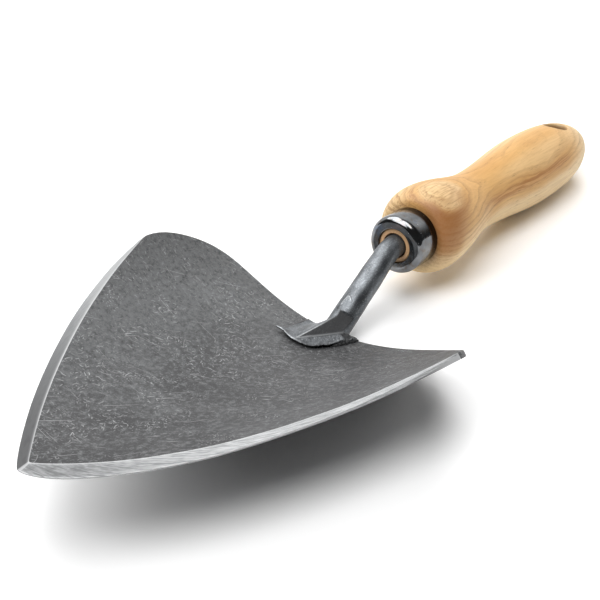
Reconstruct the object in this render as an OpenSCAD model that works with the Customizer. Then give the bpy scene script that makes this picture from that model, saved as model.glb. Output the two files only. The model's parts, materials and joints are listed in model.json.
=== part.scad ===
// Transplanting spade: a dished, heart-shaped steel blade on a cranked tang,
// with a steel ferrule and a turned ash handle.
// It lies as it does on a bench: the heel of the blade and the belly of the handle
// touch the ground at Z = 0, and the tip stands up.
// X runs along the tool, from the tip at -X to the end of the handle at +X.
// The pieces are drawn in the handle's own frame, with X along its axis from the
// ferrule's mouth, and are then laid down together.

/* [Blade] */
// Length along the middle, from the heel to the point before it is blunted
blade_len = 134; // [115:0.5:165]
// Width across the shoulders, on the upper face
blade_w = 117; // [100:0.5:140]
// How far the shoulders stand in front of the heel
shoulder_u = 33.5; // [22:0.5:45]
// Thickness of the plate at the heel
plate_t = 2.1; // [1.6:0.1:3]
// Thickness that the plate is drawn down to at the tip
tip_t = 1.4; // [1:0.1:2.4]
// Radius of the hollow across the blade
hollow_r = 83.5; // [76:0.5:140]
// Angle between the middle line and the left cutting edge at the tip
tip_angle = 47; // [38:1:58]
// Angle between the middle line and the right cutting edge, which is ground rounder
right_tip_angle = 75; // [60:1:80]
// How far the rounding takes the point back
tip_round = 1.2; // [0.4:0.1:4]
// Reach of the straight run of the left cutting edge behind the tip
tip_pull = 15.5; // [8:0.5:22]
// Reach of that run on the right
right_tip_pull = 20.5; // [12:0.5:24]
// Reach of the gently curved run of the left cutting edge in front of its shoulder
shoulder_pull = 56.5; // [45:0.5:64]
// Reach of that run on the right
right_shoulder_pull = 39.5; // [34:0.5:46]
// Angle at which the cutting edge still widens as it meets a shoulder
shoulder_flare = 12; // [4:1:20]
// Reach of the round lobe behind the left shoulder
lobe_pull = 38; // [32:0.5:42]
// Reach of the slimmer lobe behind the right shoulder
right_lobe_pull = 43; // [38:0.5:46]
// Angle at which the left lobe closes in on its shoulder
lobe_slant = 7; // [0:1:12]
// Angle at which the right lobe closes in on its shoulder
right_lobe_slant = 20; // [14:1:26]
// Reach of the straight heel to the left of the middle
heel_pull = 45.5; // [38:0.5:50]
// Reach of the straight heel to the right of the middle
right_heel_pull = 28; // [24:0.5:34]
// Width of the ground bevel on the upper face
bevel_w = 2.8; // [1.5:0.1:6]
// Thickness left at the cutting edge
edge_t = 0.3; // [0.15:0.05:1]

/* [Tang] */
// Distance of the heel in front of the ferrule's mouth
heel_reach = 30.5; // [24:0.5:60]
// Drop of the heel's upper face below the handle's axis
heel_drop = 21.8; // [18:0.2:30]
// Where the tang's axis meets the blade, in front of the heel
foot_u = 5; // [3:0.5:9]
// Where the tang bends, in front of the ferrule's mouth
elbow_x = 2.6; // [0.5:0.1:8]
// Radius of the bend, at the middle of the tang
bend_r = 16; // [11:0.5:26]
// Diameter of the tang in the bend and in the handle
tang_d = 8; // [6:0.1:9]
// Diameter of the tang where it meets its foot
tang_foot_d = 9.2; // [7:0.1:10.5]
// Height of the step where the forged shank starts, below the bend
shank_step = 0.15; // [0.1:0.05:0.4]
// Depth of the tang behind the ferrule's mouth
tang_depth = 110; // [60:1:116]
// Length of the point that the tang ends in
tang_point = 12; // [6:1:30]
// Diameter that the point is drawn down to
tang_tip_d = 2.6; // [1:0.1:5]

/* [Foot] */
// Length of the forged leaf in front of the heel
leaf_len = 19.2; // [14:0.2:26]
// Reach of the leaf to the left of the middle
leaf_left = 12.5; // [9:0.1:16]
// Reach of the leaf to the right of the middle
leaf_right = 7.4; // [6.5:0.1:12]
// Thickness of the leaf at its rim
leaf_t = 1.1; // [0.6:0.1:2]
// How far the two front corners of the leaf are cut back
leaf_corner = 3; // [1:0.1:5]
// How far the front rim of the leaf falls back towards its left corner
leaf_slant = 1; // [0.4:0.1:1.8]
// How far to the left of the middle the forged ridge runs out
ridge_y = 4.2; // [1:0.1:8]
// How far up the tang the ridge runs out, from where its axis meets the blade
ridge_rise = 12; // [8:0.5:16]
// Width of the flat apron on the right of the ridge
apron_w = 3; // [1:0.1:4]
// Radius of the hammered edges of the ridge
ridge_round = 0.4; // [0.2:0.05:0.8]
// Radius of the weld bead beside the leaf
leaf_bead_r = 1.1; // [0.7:0.05:1.6]
// Length of the weld bead, forward from the heel
leaf_bead_len = 11; // [6:0.5:14]
// Radius of the weld bead behind the heel
heel_bead_r = 1.2; // [0.8:0.05:1.4]
// Length of the weld bead behind the heel, across the tool
heel_bead_len = 11; // [6:0.5:14]
// Gap between the leaf and the plate that it lies on
bed_gap = 0.05; // [0.02:0.01:0.2]

/* [Ferrule] */
// Outside diameter of the ferrule
ferrule_d = 21; // [19:0.1:26]
// Length of the ferrule
ferrule_len = 12; // [9:0.5:20]
// Wall of the ferrule round the wood
ferrule_wall = 2; // [1.2:0.1:3]
// Thickness of the lip that closes the front of the ferrule
lip_t = 1.8; // [1:0.1:3]
// Diameter of the opening in the lip
mouth_d = 12.5; // [11:0.1:14]
// Radius of the rounded front corner
ferrule_round = 2.5; // [1:0.1:3]
// Radial clearance between the ferrule and the wood
ferrule_fit = 0.05; // [0.02:0.01:0.2]

/* [Handle] */
// Length of the handle behind the ferrule
grip_len = 137.5; // [122:0.5:160]
// Diameter of the wood where it leaves the ferrule
neck_d = 23; // [22:0.1:26]
// Diameter of the bulge behind the ferrule
bulge_d = 32.4; // [28:0.1:36]
// Distance of the bulge behind the ferrule
bulge_x = 9.5; // [7:0.5:16]
// Diameter of the waist
waist_d = 23.6; // [19:0.1:27]
// Distance of the waist behind the ferrule
waist_x = 43; // [34:0.5:52]
// Diameter of the belly that fills the palm
belly_d = 29.6; // [26:0.1:34]
// Distance of the belly behind the ferrule
belly_x = 89; // [76:0.5:98]
// Fullness of the rounded end, where 2 is an ellipse
end_fullness = 2.7; // [2:0.1:3.6]
// Radial clearance between the tang and the wood
tang_fit = 0.1; // [0.05:0.01:0.3]
// Diameter of the flared mouth of the tang's hole
flare_d = 10.2; // [9.6:0.1:11]
// Length of the flared mouth of the tang's hole
flare_len = 7; // [4:0.5:14]
// Diameter of the hanging hole
hang_d = 9.5; // [6:0.1:11]
// Distance of the hanging hole from the end of the handle
hang_inset = 23; // [18:0.5:28]
// Width of the chamfer round each mouth of the hanging hole
hang_chamfer = 1.4; // [0.8:0.1:2]
// Depth of the chamfer, below the top of the wood
hang_chamfer_depth = 2; // [1.6:0.1:3]

/* [Hidden] */

// Smoothness of round solids and of the forged ridge, and steps of the computed surfaces
$fn = 96;
ridge_fn = 32;
ridge_edge_fn = 12;
column_steps = 36;
row_steps = 9;
profile_steps = 14;
// Share of the cutting edge at which the last column of the blade stands
last_column = 0.985;
// How suddenly the ground edge gives way to the full plate at a shoulder
land_power = 4;
// Overlap that makes the straight tang and its bend one solid
lap = 0.6;
// Height of the weld behind the heel above the ground
bead_clear = 0.1;
// Steps along a weld bead and round it, its swelling, and the share that every other ripple loses
bead_steps = 14;
bead_sides = 8;
bead_taper = 0.9;
ripple = 0.12;
// How many times its own depth the countersink of the hanging hole is tall, to clear the wood
sink_run = 2;

// Heel and tip: the tip lies on the handle's axis
blade_tilt = asin(heel_drop / blade_len);
tip = [blade_len, 0];
shoulder = [shoulder_u, blade_w / 2];

// Handle stations, measured from the ferrule's mouth
wood_start = ferrule_len + ferrule_fit;
grip_end = ferrule_len + grip_len;
bulge_s = ferrule_len + bulge_x;
waist_s = ferrule_len + waist_x;
belly_s = ferrule_len + belly_x;
hang_s = grip_end - hang_inset;
bore_r = ferrule_d / 2 - ferrule_wall;
tang_r = tang_d / 2;

function lerp(a, b, k) = a + (b - a) * k;
function ease(k) = (1 - cos(180 * k)) / 2;
function heading(angle) = [cos(angle), sin(angle)];
function bezier(p, t) =
    pow(1 - t, 3) * p[0] + 3 * pow(1 - t, 2) * t * p[1]
    + 3 * (1 - t) * t * t * p[2] + pow(t, 3) * p[3];

// Plan of one half of the blade: x runs from heel to tip, y from the middle to a shoulder
function blunted(p, angle) =
    let (k = p.y / tan(angle)) [p.x + k - sqrt(k * k + tip_round * tip_round), p.y];
function edge_run(t, angle, behind_tip, at_shoulder) = blunted(bezier([
    tip,
    tip + behind_tip * heading(180 - angle),
    shoulder + at_shoulder * heading(-shoulder_flare),
    shoulder], t), angle);
function cutting_edge(t, side = 1) = side > 0
    ? edge_run(t, tip_angle, tip_pull, shoulder_pull)
    : edge_run(t, right_tip_angle, right_tip_pull, right_shoulder_pull);
function bevel_line(t) = blunted(bezier([
    tip - [bevel_w / sin(tip_angle), 0],
    tip + tip_pull * heading(180 - tip_angle) + bevel_w * heading(270 - tip_angle),
    shoulder + shoulder_pull * heading(-shoulder_flare) + bevel_w * heading(270 - shoulder_flare),
    shoulder], t), tip_angle);
function rear_run(t, heel, lobe, slant) = bezier([
    [0, 0],
    [0, heel],
    shoulder - lobe * heading(slant),
    shoulder], t);
function rear_edge(t, side = 1) = side > 0
    ? rear_run(t, heel_pull, lobe_pull, lobe_slant)
    : rear_run(t, right_heel_pull, right_lobe_pull, right_lobe_slant);

// The plate is drawn thinner from heel to tip, and its edge is ground thin up to the shoulders
function plate_at(p) = lerp(plate_t, tip_t, p.x / blade_len);
function edge_land(t, edge) = lerp(edge_t, plate_at(edge), pow(t, land_power));

// A plan point on the hollow upper face, or a depth below it, square to the plate
function on_plate(p, depth) =
    let (a = asin(p.y / hollow_r))
    [p.x, p.y + depth * sin(a), hollow_r * (1 - cos(a)) - depth * cos(a)];

// A point of the blade's frame in the handle's frame
function in_tool(p) = [
    -heel_reach - p.x * cos(blade_tilt) + p.z * sin(blade_tilt),
    p.y,
    -heel_drop + p.x * sin(blade_tilt) + p.z * cos(blade_tilt)];

// Outline of the wood behind the ferrule, as [station, radius]
wood_profile = concat(
    [for (i = [0 : profile_steps]) let (k = 1 - cos(90 * i / profile_steps))
        [lerp(wood_start, bulge_s, k),
         lerp(neck_d, bulge_d, sqrt(1 - pow(1 - k, 2))) / 2]],
    [for (i = [1 : profile_steps]) let (k = i / profile_steps)
        [lerp(bulge_s, waist_s, k), lerp(bulge_d, waist_d, ease(k)) / 2]],
    [for (i = [1 : profile_steps]) let (k = i / profile_steps)
        [lerp(waist_s, belly_s, k), lerp(waist_d, belly_d, ease(k)) / 2]],
    [for (i = [1 : profile_steps]) let (k = sin(90 * i / profile_steps))
        [lerp(belly_s, grip_end, k), belly_d / 2 * sqrt(1 - min(1, pow(k, end_fullness)))]]);
hang_k = (hang_s - belly_s) / (grip_end - belly_s);
hang_r = belly_d / 2 * sqrt(1 - pow(max(0, hang_k), end_fullness));

// Ground under the tool: it touches the heel's lower edge and the belly
heel_low = in_tool([0, 0, -plate_t]);
rest_tilt = min([for (p = wood_profile) atan2(-p[1] - heel_low.z, p[0] - heel_low.x)]);
rest_lift = heel_low.x * sin(rest_tilt) - heel_low.z * cos(rest_tilt);
tip_low = in_tool(on_plate(cutting_edge(0), plate_at(cutting_edge(0))));
reach_front = tip_low.x * cos(rest_tilt) + tip_low.z * sin(rest_tilt);
reach_rear = max([for (p = wood_profile) p[0] * cos(rest_tilt) + p[1] * sin(rest_tilt)]);

// Run of the tang from the elbow down to its foot
elbow = [-elbow_x, 0, 0];
foot = in_tool([foot_u, 0, 0]);
crank = atan2(elbow.z - foot.z, elbow.x - foot.x);
bend_run = bend_r * tan(crank / 2);
shank_len = norm(elbow - foot) - bend_run;
shank_d = tang_d + 2 * shank_step;
function tang_d_at(run) = lerp(tang_foot_d, shank_d, run / shank_len);

// Weld behind the heel, just clear of the ground
ground_angle = blade_tilt + rest_tilt;
heel_bead = [
    -heel_bead_r,
    -plate_t + heel_bead_r * tan(ground_angle) + (heel_bead_r + bead_clear) / cos(ground_angle)];

// Lay the tool on the ground, with the middle of its length at the origin
module laid_down() {
    translate([-(reach_front + reach_rear) / 2, 0, rest_lift])
        rotate([0, rest_tilt, 0])
            children();
}

// Frame of the blade: x from heel to tip, z up from the heel's upper face
module on_blade() {
    translate([-heel_reach, 0, -heel_drop])
        rotate([0, blade_tilt, 0])
            mirror([1, 0, 0])
                children();
}

// Turned solids are drawn upright and then put on the handle's axis
module on_axis(station = 0) {
    translate([station, 0, 0])
        rotate([0, 90, 0])
            children();
}

// Space above the hollow of the blade, left free by a gap
module above_hollow(gap = 0) {
    translate([0, 0, hollow_r])
        rotate([0, 90, 0])
            cylinder(r = hollow_r - gap, h = 2 * blade_len, center = true);
}

// A closed solid through a row of rings that all have as many points
module sweep(rings) {
    size = len(rings[0]);
    last = (len(rings) - 1) * size;
    walls = [for (c = [0 : len(rings) - 2], i = [0 : size - 1])
        let (a = c * size + i, b = c * size + (i + 1) % size)
        each [[a, b, b + size], [a, b + size, a + size]]];
    first_cap = [for (i = [1 : size - 2]) [0, i + 1, i]];
    last_cap = [for (i = [1 : size - 2]) [last, last + i, last + i + 1]];
    polyhedron(points = [for (ring = rings, p = ring) p], faces = concat(walls, first_cap, last_cap));
}

// One section of the blade, from the cutting edge over the top to the rear edge and back below
function blade_ring(t, side) =
    let (edge = cutting_edge(t, side), inner = bevel_line(t), rear = rear_edge(t, side))
    [for (p = concat(
        [[edge, plate_at(edge) - edge_land(t, edge)]],
        [for (k = [0 : row_steps]) [lerp(inner, rear, k / row_steps), 0]],
        [for (k = [row_steps : -1 : 0]) let (q = lerp(edge, rear, k / row_steps)) [q, plate_at(q)]]))
        on_plate([p[0].x, p[0].y * side], p[1])];

module blade() {
    color("#6b6d6f")
        laid_down() on_blade()
            sweep([for (c = [-column_steps : column_steps])
                blade_ring(last_column * abs(c) / column_steps, c < 0 ? -1 : 1)]);
}

// Outline of the forged leaf, in plan on the blade
module leaf_outline() {
    polygon([
        [bed_gap, leaf_left],
        [leaf_len - leaf_corner, leaf_left],
        [leaf_len - leaf_slant, leaf_left - leaf_corner],
        [leaf_len, 0],
        [leaf_len - leaf_corner, -leaf_corner],
        [bed_gap, -leaf_right]]);
}

// The leaf itself: a thin plate bent to the hollow of the blade
module leaf() {
    intersection() {
        linear_extrude(height = hollow_r) leaf_outline();
        difference() {
            above_hollow(bed_gap);
            above_hollow(bed_gap + leaf_t);
        }
    }
}

// The ridge that the smith left between the round tang and the leaf
module ridge() {
    rim = bed_gap + ridge_round;
    crown = [
        [leaf_len - leaf_slant, ridge_y, rim + leaf_t / 2],
        [leaf_len - leaf_corner, leaf_left - leaf_corner, rim + leaf_t],
        [rim, leaf_left - leaf_slant, rim + leaf_t],
        [rim, apron_w - leaf_right, rim]];
    hull() {
        for (p = crown)
            translate(p) sphere(r = ridge_round, $fn = ridge_edge_fn);
        translate([foot_u, 0, 0])
            rotate([0, crank + blade_tilt - 90, 0])
                translate([0, 0, ridge_rise])
                    cylinder(d = tang_d_at(ridge_rise) - 2 * ridge_round, h = ridge_round, $fn = ridge_fn);
    }
}

module tang_rod() {
    on_axis(bend_run - elbow_x) {
        cylinder(r = tang_r, h = tang_depth - tang_point - bend_run + elbow_x);
        translate([0, 0, tang_depth - tang_point - bend_run + elbow_x])
            cylinder(r1 = tang_r, d2 = tang_tip_d, h = tang_point);
    }
    translate([bend_run - elbow_x, 0, -bend_r])
        rotate([90, -90, 0])
            rotate_extrude(angle = crank)
                translate([bend_r, 0]) circle(r = tang_r);
}

module shank() {
    translate(foot)
        rotate([0, 90 - crank, 0])
            cylinder(d1 = tang_foot_d, d2 = shank_d, h = shank_len + lap);
}

module tang() {
    color("#83878b")
        laid_down() {
            tang_rod();
            on_blade() leaf();
            intersection() {
                union() {
                    shank();
                    on_blade() ridge();
                }
                on_blade() above_hollow(bed_gap);
            }
        }
}

// Size of a bead along its run, from 0 to 1: small at both ends, with ripples between
function bead_swell(k, i) = sqrt(1 - pow(bead_taper * (2 * k - 1), 2)) * (1 - ripple * (i % 2));

// A fillet of weld on the plate, from one plan point to another, against a rim on one side
module fillet(from, to, out, height) {
    run = to - from;
    normal = [run.y, -run.x] / norm(run) * (out ? 1 : -1);
    rings = [for (i = [0 : bead_steps])
        let (k = i / bead_steps, r = leaf_bead_r * bead_swell(k, i), h = height * bead_swell(k, i))
        concat(
            [on_plate(lerp(from, to, k) + normal * bed_gap, 0) + [0, 0, bed_gap]],
            [for (j = [0 : bead_sides]) let (a = 90 * j / bead_sides)
                on_plate(lerp(from, to, k) + normal * (bed_gap + r * sin(a)), 0)
                + [0, 0, bed_gap + h * cos(a)]])];
    sweep(out ? rings : [for (i = [bead_steps : -1 : 0]) rings[i]]);
}

module leaf_weld() {
    color("#4b4b4d")
        laid_down() on_blade() {
            rim = [leaf_len - leaf_corner, -leaf_corner];
            heel_right = [bed_gap, -leaf_right];
            heel_left = [bed_gap, leaf_left];
            fillet(heel_right, lerp(heel_right, rim, leaf_bead_len / rim.x), true, leaf_t);
            fillet(heel_left, heel_left + [leaf_bead_len, 0], false, leaf_t);
        }
}

// The weld behind the heel: a bar under the tang that fills the corner with the plate's edge
module heel_weld() {
    half = heel_bead_len / 2;
    color("#4b4b4d")
        laid_down() on_blade()
            sweep([for (i = [0 : bead_steps])
                let (k = i / bead_steps, y = lerp(-half, half, k), r = heel_bead_r * bead_swell(k, i))
                [for (j = [0 : 2 * bead_sides - 1])
                    let (a = 180 * j / bead_sides)
                    [min(-bed_gap, heel_bead[0] + r * cos(a)), y,
                     min(-bed_gap, heel_bead[1] + r * sin(a))]]]);
}

// Section of the ferrule: a ring with a rounded front corner and a lip round the mouth
module ferrule_section() {
    r = ferrule_d / 2;
    front_corner = [for (i = [0 : profile_steps]) let (a = 90 * i / profile_steps)
        [r - ferrule_round * (1 - cos(a)), ferrule_round * (1 - sin(a))]];
    polygon(concat(
        [[r, ferrule_len]],
        front_corner,
        [[mouth_d / 2, 0], [mouth_d / 2, lip_t], [bore_r, lip_t], [bore_r, ferrule_len]]));
}

module ferrule() {
    color("#2f353b")
        laid_down() on_axis() rotate_extrude() ferrule_section();
}

// Section of the wood: a tenon in the ferrule, then the turned grip
module handle_section() {
    tenon_r = bore_r - ferrule_fit;
    tenon_front = lip_t + ferrule_fit;
    polygon(concat(
        [[0, tenon_front], [tenon_r, tenon_front], [tenon_r, wood_start]],
        [for (p = wood_profile) [p[1], p[0]]]));
}

module tang_hole() {
    hole_r = tang_r + tang_fit;
    straight = tang_depth - tang_point;
    cylinder(r = hole_r, h = straight);
    translate([0, 0, straight])
        cylinder(r1 = hole_r, r2 = tang_tip_d / 2 + tang_fit, h = tang_point + tang_fit);
    translate([0, 0, lip_t])
        cylinder(r1 = flare_d / 2, r2 = hole_r, h = flare_len);
}

module hang_hole() {
    cylinder(d = hang_d, h = bulge_d, center = true);
    for (end = [0, 1])
        mirror([0, 0, end])
            translate([0, 0, hang_r - hang_chamfer_depth])
                cylinder(d1 = hang_d, d2 = hang_d + 2 * sink_run * hang_chamfer,
                    h = sink_run * hang_chamfer_depth);
}

module handle() {
    color("#d8aa6c")
        laid_down()
            difference() {
                on_axis() rotate_extrude() handle_section();
                on_axis() tang_hole();
                translate([hang_s, 0, 0]) hang_hole();
            }
}

blade();
tang();
leaf_weld();
heel_weld();
ferrule();
handle();
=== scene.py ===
"""Dress the transplanting spade: forged blade and tang, welds, blued ferrule and turned ash handle."""

import json
import logging
import math
from dataclasses import dataclass
from enum import Enum
from typing import Any, Dict, List, Optional, Sequence, Tuple, Union

import bmesh
import bpy
import numpy as np
from mathutils import Matrix, Vector, noise


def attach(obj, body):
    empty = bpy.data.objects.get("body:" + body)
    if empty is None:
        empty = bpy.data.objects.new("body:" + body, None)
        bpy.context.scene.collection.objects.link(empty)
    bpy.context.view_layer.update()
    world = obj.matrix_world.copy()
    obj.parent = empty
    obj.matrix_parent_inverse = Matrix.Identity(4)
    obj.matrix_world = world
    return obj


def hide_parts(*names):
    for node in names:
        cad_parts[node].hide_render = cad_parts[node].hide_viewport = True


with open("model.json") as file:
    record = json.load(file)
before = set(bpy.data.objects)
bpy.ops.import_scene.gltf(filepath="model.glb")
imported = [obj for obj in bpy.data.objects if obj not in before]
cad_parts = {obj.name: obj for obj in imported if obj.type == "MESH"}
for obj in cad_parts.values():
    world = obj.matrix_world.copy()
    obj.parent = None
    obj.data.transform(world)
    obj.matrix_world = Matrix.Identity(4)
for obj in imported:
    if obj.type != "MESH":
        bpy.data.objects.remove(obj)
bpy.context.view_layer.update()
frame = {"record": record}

LOG = logging.getLogger("transplanting_spade")
BODY = "root"
MM = 0.001
PER_METRE = 1000.0
FULL_TURN = 2 * math.pi
LEAST = 1e-6
NOISE_MIDDLE = 0.5
SPECK_CORE = 0.4
MIX_FACTOR, MIX_FIRST, MIX_SECOND, MIX_RESULT = 0, 6, 7, 2
SRGB_FULL = 255.0
SRGB_TOE = 0.04045
SRGB_TOE_SLOPE = 12.92
SRGB_OFFSET = 0.055
SRGB_POWER = 2.4

Colour = Tuple[float, float, float, float]
Levels = Tuple[float, float]
Triple = Tuple[float, float, float]
Weights = Tuple[float, ...]
Points = np.ndarray
Faces = List[List[int]]
Socket = bpy.types.NodeSocket
Material = bpy.types.Material
Piece = bpy.types.Object


def srgb(red: int, green: int, blue: int) -> Colour:
    """Turn a screen colour into the linear colour that a shader takes.

    Args:
        red: Red from 0 to 255.
        green: Green from 0 to 255.
        blue: Blue from 0 to 255.

    Returns:
        The linear colour, opaque.
    """
    parts = []
    for part in (red, green, blue):
        level = part / SRGB_FULL
        curved = ((level + SRGB_OFFSET) / (1 + SRGB_OFFSET)) ** SRGB_POWER
        parts.append(level / SRGB_TOE_SLOPE if level <= SRGB_TOE else curved)
    return (parts[0], parts[1], parts[2], 1.0)


class Axis(Enum):
    """Axes of a finish's own space that a pattern is turned about."""

    Y = "Y_AXIS"
    Z = "Z_AXIS"


class Way(Enum):
    """Ways in which a region of the wood is bounded."""

    ALONG = "along the handle"
    LEFT = "to the left"
    LEVEL = "across the rings"


@dataclass(frozen=True)
class Pattern:
    """A noise: waves for each unit, alike or each way, octaves above the first and their share.

    With levels, the noise rises from 0 at the first to 1 at the second; it may fall instead.
    """

    scale: Union[float, Triple]
    detail: float = 2.0
    roughness: float = 0.5
    level: Optional[Levels] = None


class Value:
    """A number that varies over a surface: arithmetic on it adds Math nodes."""

    def __init__(self, shader: "Shader", socket: Socket) -> None:
        """Wrap a socket of a shader."""
        self.shader = shader
        self.socket = socket

    def __add__(self, other: "Number") -> "Value":
        """Add a value or a number."""
        return self.shader.math("ADD", self, other)

    def __radd__(self, other: "Number") -> "Value":
        """Add this value to a number."""
        return self.shader.math("ADD", other, self)

    def __sub__(self, other: "Number") -> "Value":
        """Take a value or a number away."""
        return self.shader.math("SUBTRACT", self, other)

    def __rsub__(self, other: "Number") -> "Value":
        """Take this value away from a number."""
        return self.shader.math("SUBTRACT", other, self)

    def __mul__(self, other: "Number") -> "Value":
        """Multiply by a value or a number."""
        return self.shader.math("MULTIPLY", self, other)

    def __rmul__(self, other: "Number") -> "Value":
        """Multiply a number by this value."""
        return self.shader.math("MULTIPLY", other, self)

    def __abs__(self) -> "Value":
        """Drop the sign."""
        return self.shader.math("ABSOLUTE", self)

    def __neg__(self) -> "Value":
        """Turn the sign."""
        return self.shader.math("MULTIPLY", self, -1.0)

    def fraction(self) -> "Value":
        """Keep what is left above the whole number."""
        return self.shader.math("FRACT", self)

    def centred(self) -> "Value":
        """Count from the middle of a noise."""
        return self.shader.math("SUBTRACT", self, NOISE_MIDDLE)

    def between(self, none: float, full: float) -> "Value":
        """Go from one number where the value is 0 to another where it is 1."""
        return none + (full - none) * self

    def most(self, other: "Number") -> "Value":
        """Take the larger of this value and another."""
        return self.shader.math("MAXIMUM", self, other)

    def step(self, low: float, high: float) -> "Value":
        """Rise smoothly from 0 at one level to 1 at another.

        Args:
            low: Level at which the result is 0.
            high: Level at which the result is 1; it may be below the other.

        Returns:
            The risen value.
        """
        first, last = min(low, high), max(low, high)
        node = self.shader.add(
            "ShaderNodeMapRange",
            {"interpolation_type": "SMOOTHSTEP"},
            {"Value": self, "From Min": first, "From Max": last,
             "To Min": float(low > high), "To Max": float(low <= high)})
        return Value(self.shader, node.outputs[0])


Number = Union[Value, float, int]


class Shader:
    """Node tree of one material, world or stage surface."""

    def __init__(self, owner: Union[Material, bpy.types.World]) -> None:
        """Empty the owner's node tree and take it over.

        Args:
            owner: The material or world.
        """
        owner.use_nodes = True
        self.owner = owner
        self.tree = owner.node_tree
        self.tree.nodes.clear()

    def add(self, kind: str, settings: Optional[Dict[str, Any]] = None,
            inputs: Optional[Dict[Union[str, int], Any]] = None) -> bpy.types.Node:
        """Add one node.

        Args:
            kind: The node's type.
            settings: Its settings, set first.
            inputs: Values or links of its sockets, by name or number.

        Returns:
            The new node.
        """
        node = self.tree.nodes.new(kind)
        for key, setting in (settings or {}).items():
            setattr(node, key, setting)
        for key, given in (inputs or {}).items():
            if isinstance(given, Value):
                given = given.socket
            if isinstance(given, Socket):
                self.tree.links.new(given, node.inputs[key])
            else:
                node.inputs[key].default_value = given
        return node

    def math(self, operation: str, *operands: Number) -> Value:
        """Add a Math node for some values or numbers."""
        node = self.add("ShaderNodeMath", {"operation": operation}, dict(enumerate(operands)))
        return Value(self, node.outputs[0])

    def vector(self, operation: str, *operands: Any) -> Socket:
        """Add a Vector Math node that gives a vector."""
        node = self.add("ShaderNodeVectorMath", {"operation": operation}, dict(enumerate(operands)))
        return node.outputs[0]

    def measured(self, operation: str, *operands: Any) -> Value:
        """Add a Vector Math node that gives a number."""
        node = self.add("ShaderNodeVectorMath", {"operation": operation}, dict(enumerate(operands)))
        return Value(self, node.outputs["Value"])

    def place(self) -> Socket:
        """Give the surface's place in the part's frame, in mm."""
        node = self.add("ShaderNodeTexCoord")
        return self.vector("MULTIPLY", node.outputs["Object"], (PER_METRE, PER_METRE, PER_METRE))

    def turned(self, vector: Socket, axis: Axis, angle: Number) -> Socket:
        """Turn a vector about an axis through the origin.

        Args:
            vector: The vector.
            axis: The axis.
            angle: The angle in radians, fixed or varying.

        Returns:
            The turned vector.
        """
        node = self.add("ShaderNodeVectorRotate", {"rotation_type": axis.value},
                        {"Vector": vector, "Angle": angle})
        return node.outputs[0]

    def split(self, vector: Socket) -> Tuple[Value, Value, Value]:
        """Give the x, y and z of a vector."""
        node = self.add("ShaderNodeSeparateXYZ", None, {0: vector})
        return tuple(Value(self, part) for part in node.outputs)

    def carried(self, name: str) -> Tuple[Value, Value, Value]:
        """Give the three parts of a vector that the mesh carries under a name."""
        node = self.add("ShaderNodeAttribute", {"attribute_name": name})
        return self.split(node.outputs["Vector"])

    def joined(self, x: Number, y: Number, z: Number = 0.0) -> Socket:
        """Join three numbers to a vector."""
        return self.add("ShaderNodeCombineXYZ", None, {0: x, 1: y, 2: z}).outputs[0]

    def noise(self, vector: Socket, pattern: Pattern) -> Value:
        """Add a noise.

        Args:
            vector: Where the noise is looked up.
            pattern: What it is like.

        Returns:
            The noise, about 0.5 in the middle, or 0 to 1 between the pattern's levels.
        """
        scale = pattern.scale
        if isinstance(scale, tuple):
            vector = self.vector("MULTIPLY", vector, scale)
            scale = 1.0
        node = self.add("ShaderNodeTexNoise", {"noise_dimensions": "3D"}, {
            "Vector": vector, "Scale": scale, "Detail": pattern.detail, "Roughness": pattern.roughness})
        found = Value(self, node.outputs[0])
        return found.step(*pattern.level) if pattern.level else found

    def specks(self, vector: Socket, scale: float, size: float) -> Value:
        """Scatter round specks: how many for each unit, and their radius as a share of the space."""
        node = self.add("ShaderNodeTexVoronoi", {"feature": "F1"}, {"Vector": vector, "Scale": scale})
        return Value(self, node.outputs["Distance"]).step(size, SPECK_CORE * size)

    def blend(self, factor: Number, first: Any, second: Any) -> Socket:
        """Mix two colours.

        Args:
            factor: Share of the second, held between 0 and 1.
            first: A colour or a link to one.
            second: A colour or a link to one.

        Returns:
            The mixed colour.
        """
        node = self.add("ShaderNodeMix", {"data_type": "RGBA", "blend_type": "MIX", "clamp_factor": True},
                        {MIX_FACTOR: factor, MIX_FIRST: first, MIX_SECOND: second})
        return node.outputs[MIX_RESULT]

    def bump(self, height: Value, distance: float, strength: float) -> Socket:
        """Raise the surface by a height of 0 to 1, whose 1 stands for a distance in metres."""
        return self.add("ShaderNodeBump", None, {
            "Height": height, "Distance": distance, "Strength": strength}).outputs[0]

    def surface(self, sockets: Dict[str, Any]) -> Material:
        """Close the material with a Principled shader.

        Args:
            sockets: Values or links of its sockets.

        Returns:
            The material.
        """
        shader = self.add("ShaderNodeBsdfPrincipled", None, sockets)
        self.add("ShaderNodeOutputMaterial", None, {"Surface": shader.outputs[0]})
        return self.owner


@dataclass(frozen=True)
class Scratches:
    """Fine scratches that all run about one way: the angle in radians, sizes in mm."""

    angle: float
    length: float
    width: float
    level: Levels
    seed: float
    seed_ways: Triple = (1.0, 1.7, 0.3)

    def drawn(self, shader: Shader, plan: Socket) -> Value:
        """Draw the scratches.

        Args:
            shader: The shader.
            plan: Where the pattern is looked up, in mm.

        Returns:
            1 in a scratch and 0 elsewhere.
        """
        turned = shader.turned(plan, Axis.Z, self.angle)
        shrunk = shader.vector("MULTIPLY", turned, (1.0 / self.length, 1.0 / self.width, 0.0))
        moved = shader.vector("ADD", shrunk, tuple(self.seed * way for way in self.seed_ways))
        return shader.noise(moved, Pattern(1.0, 0.0, level=self.level))


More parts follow.
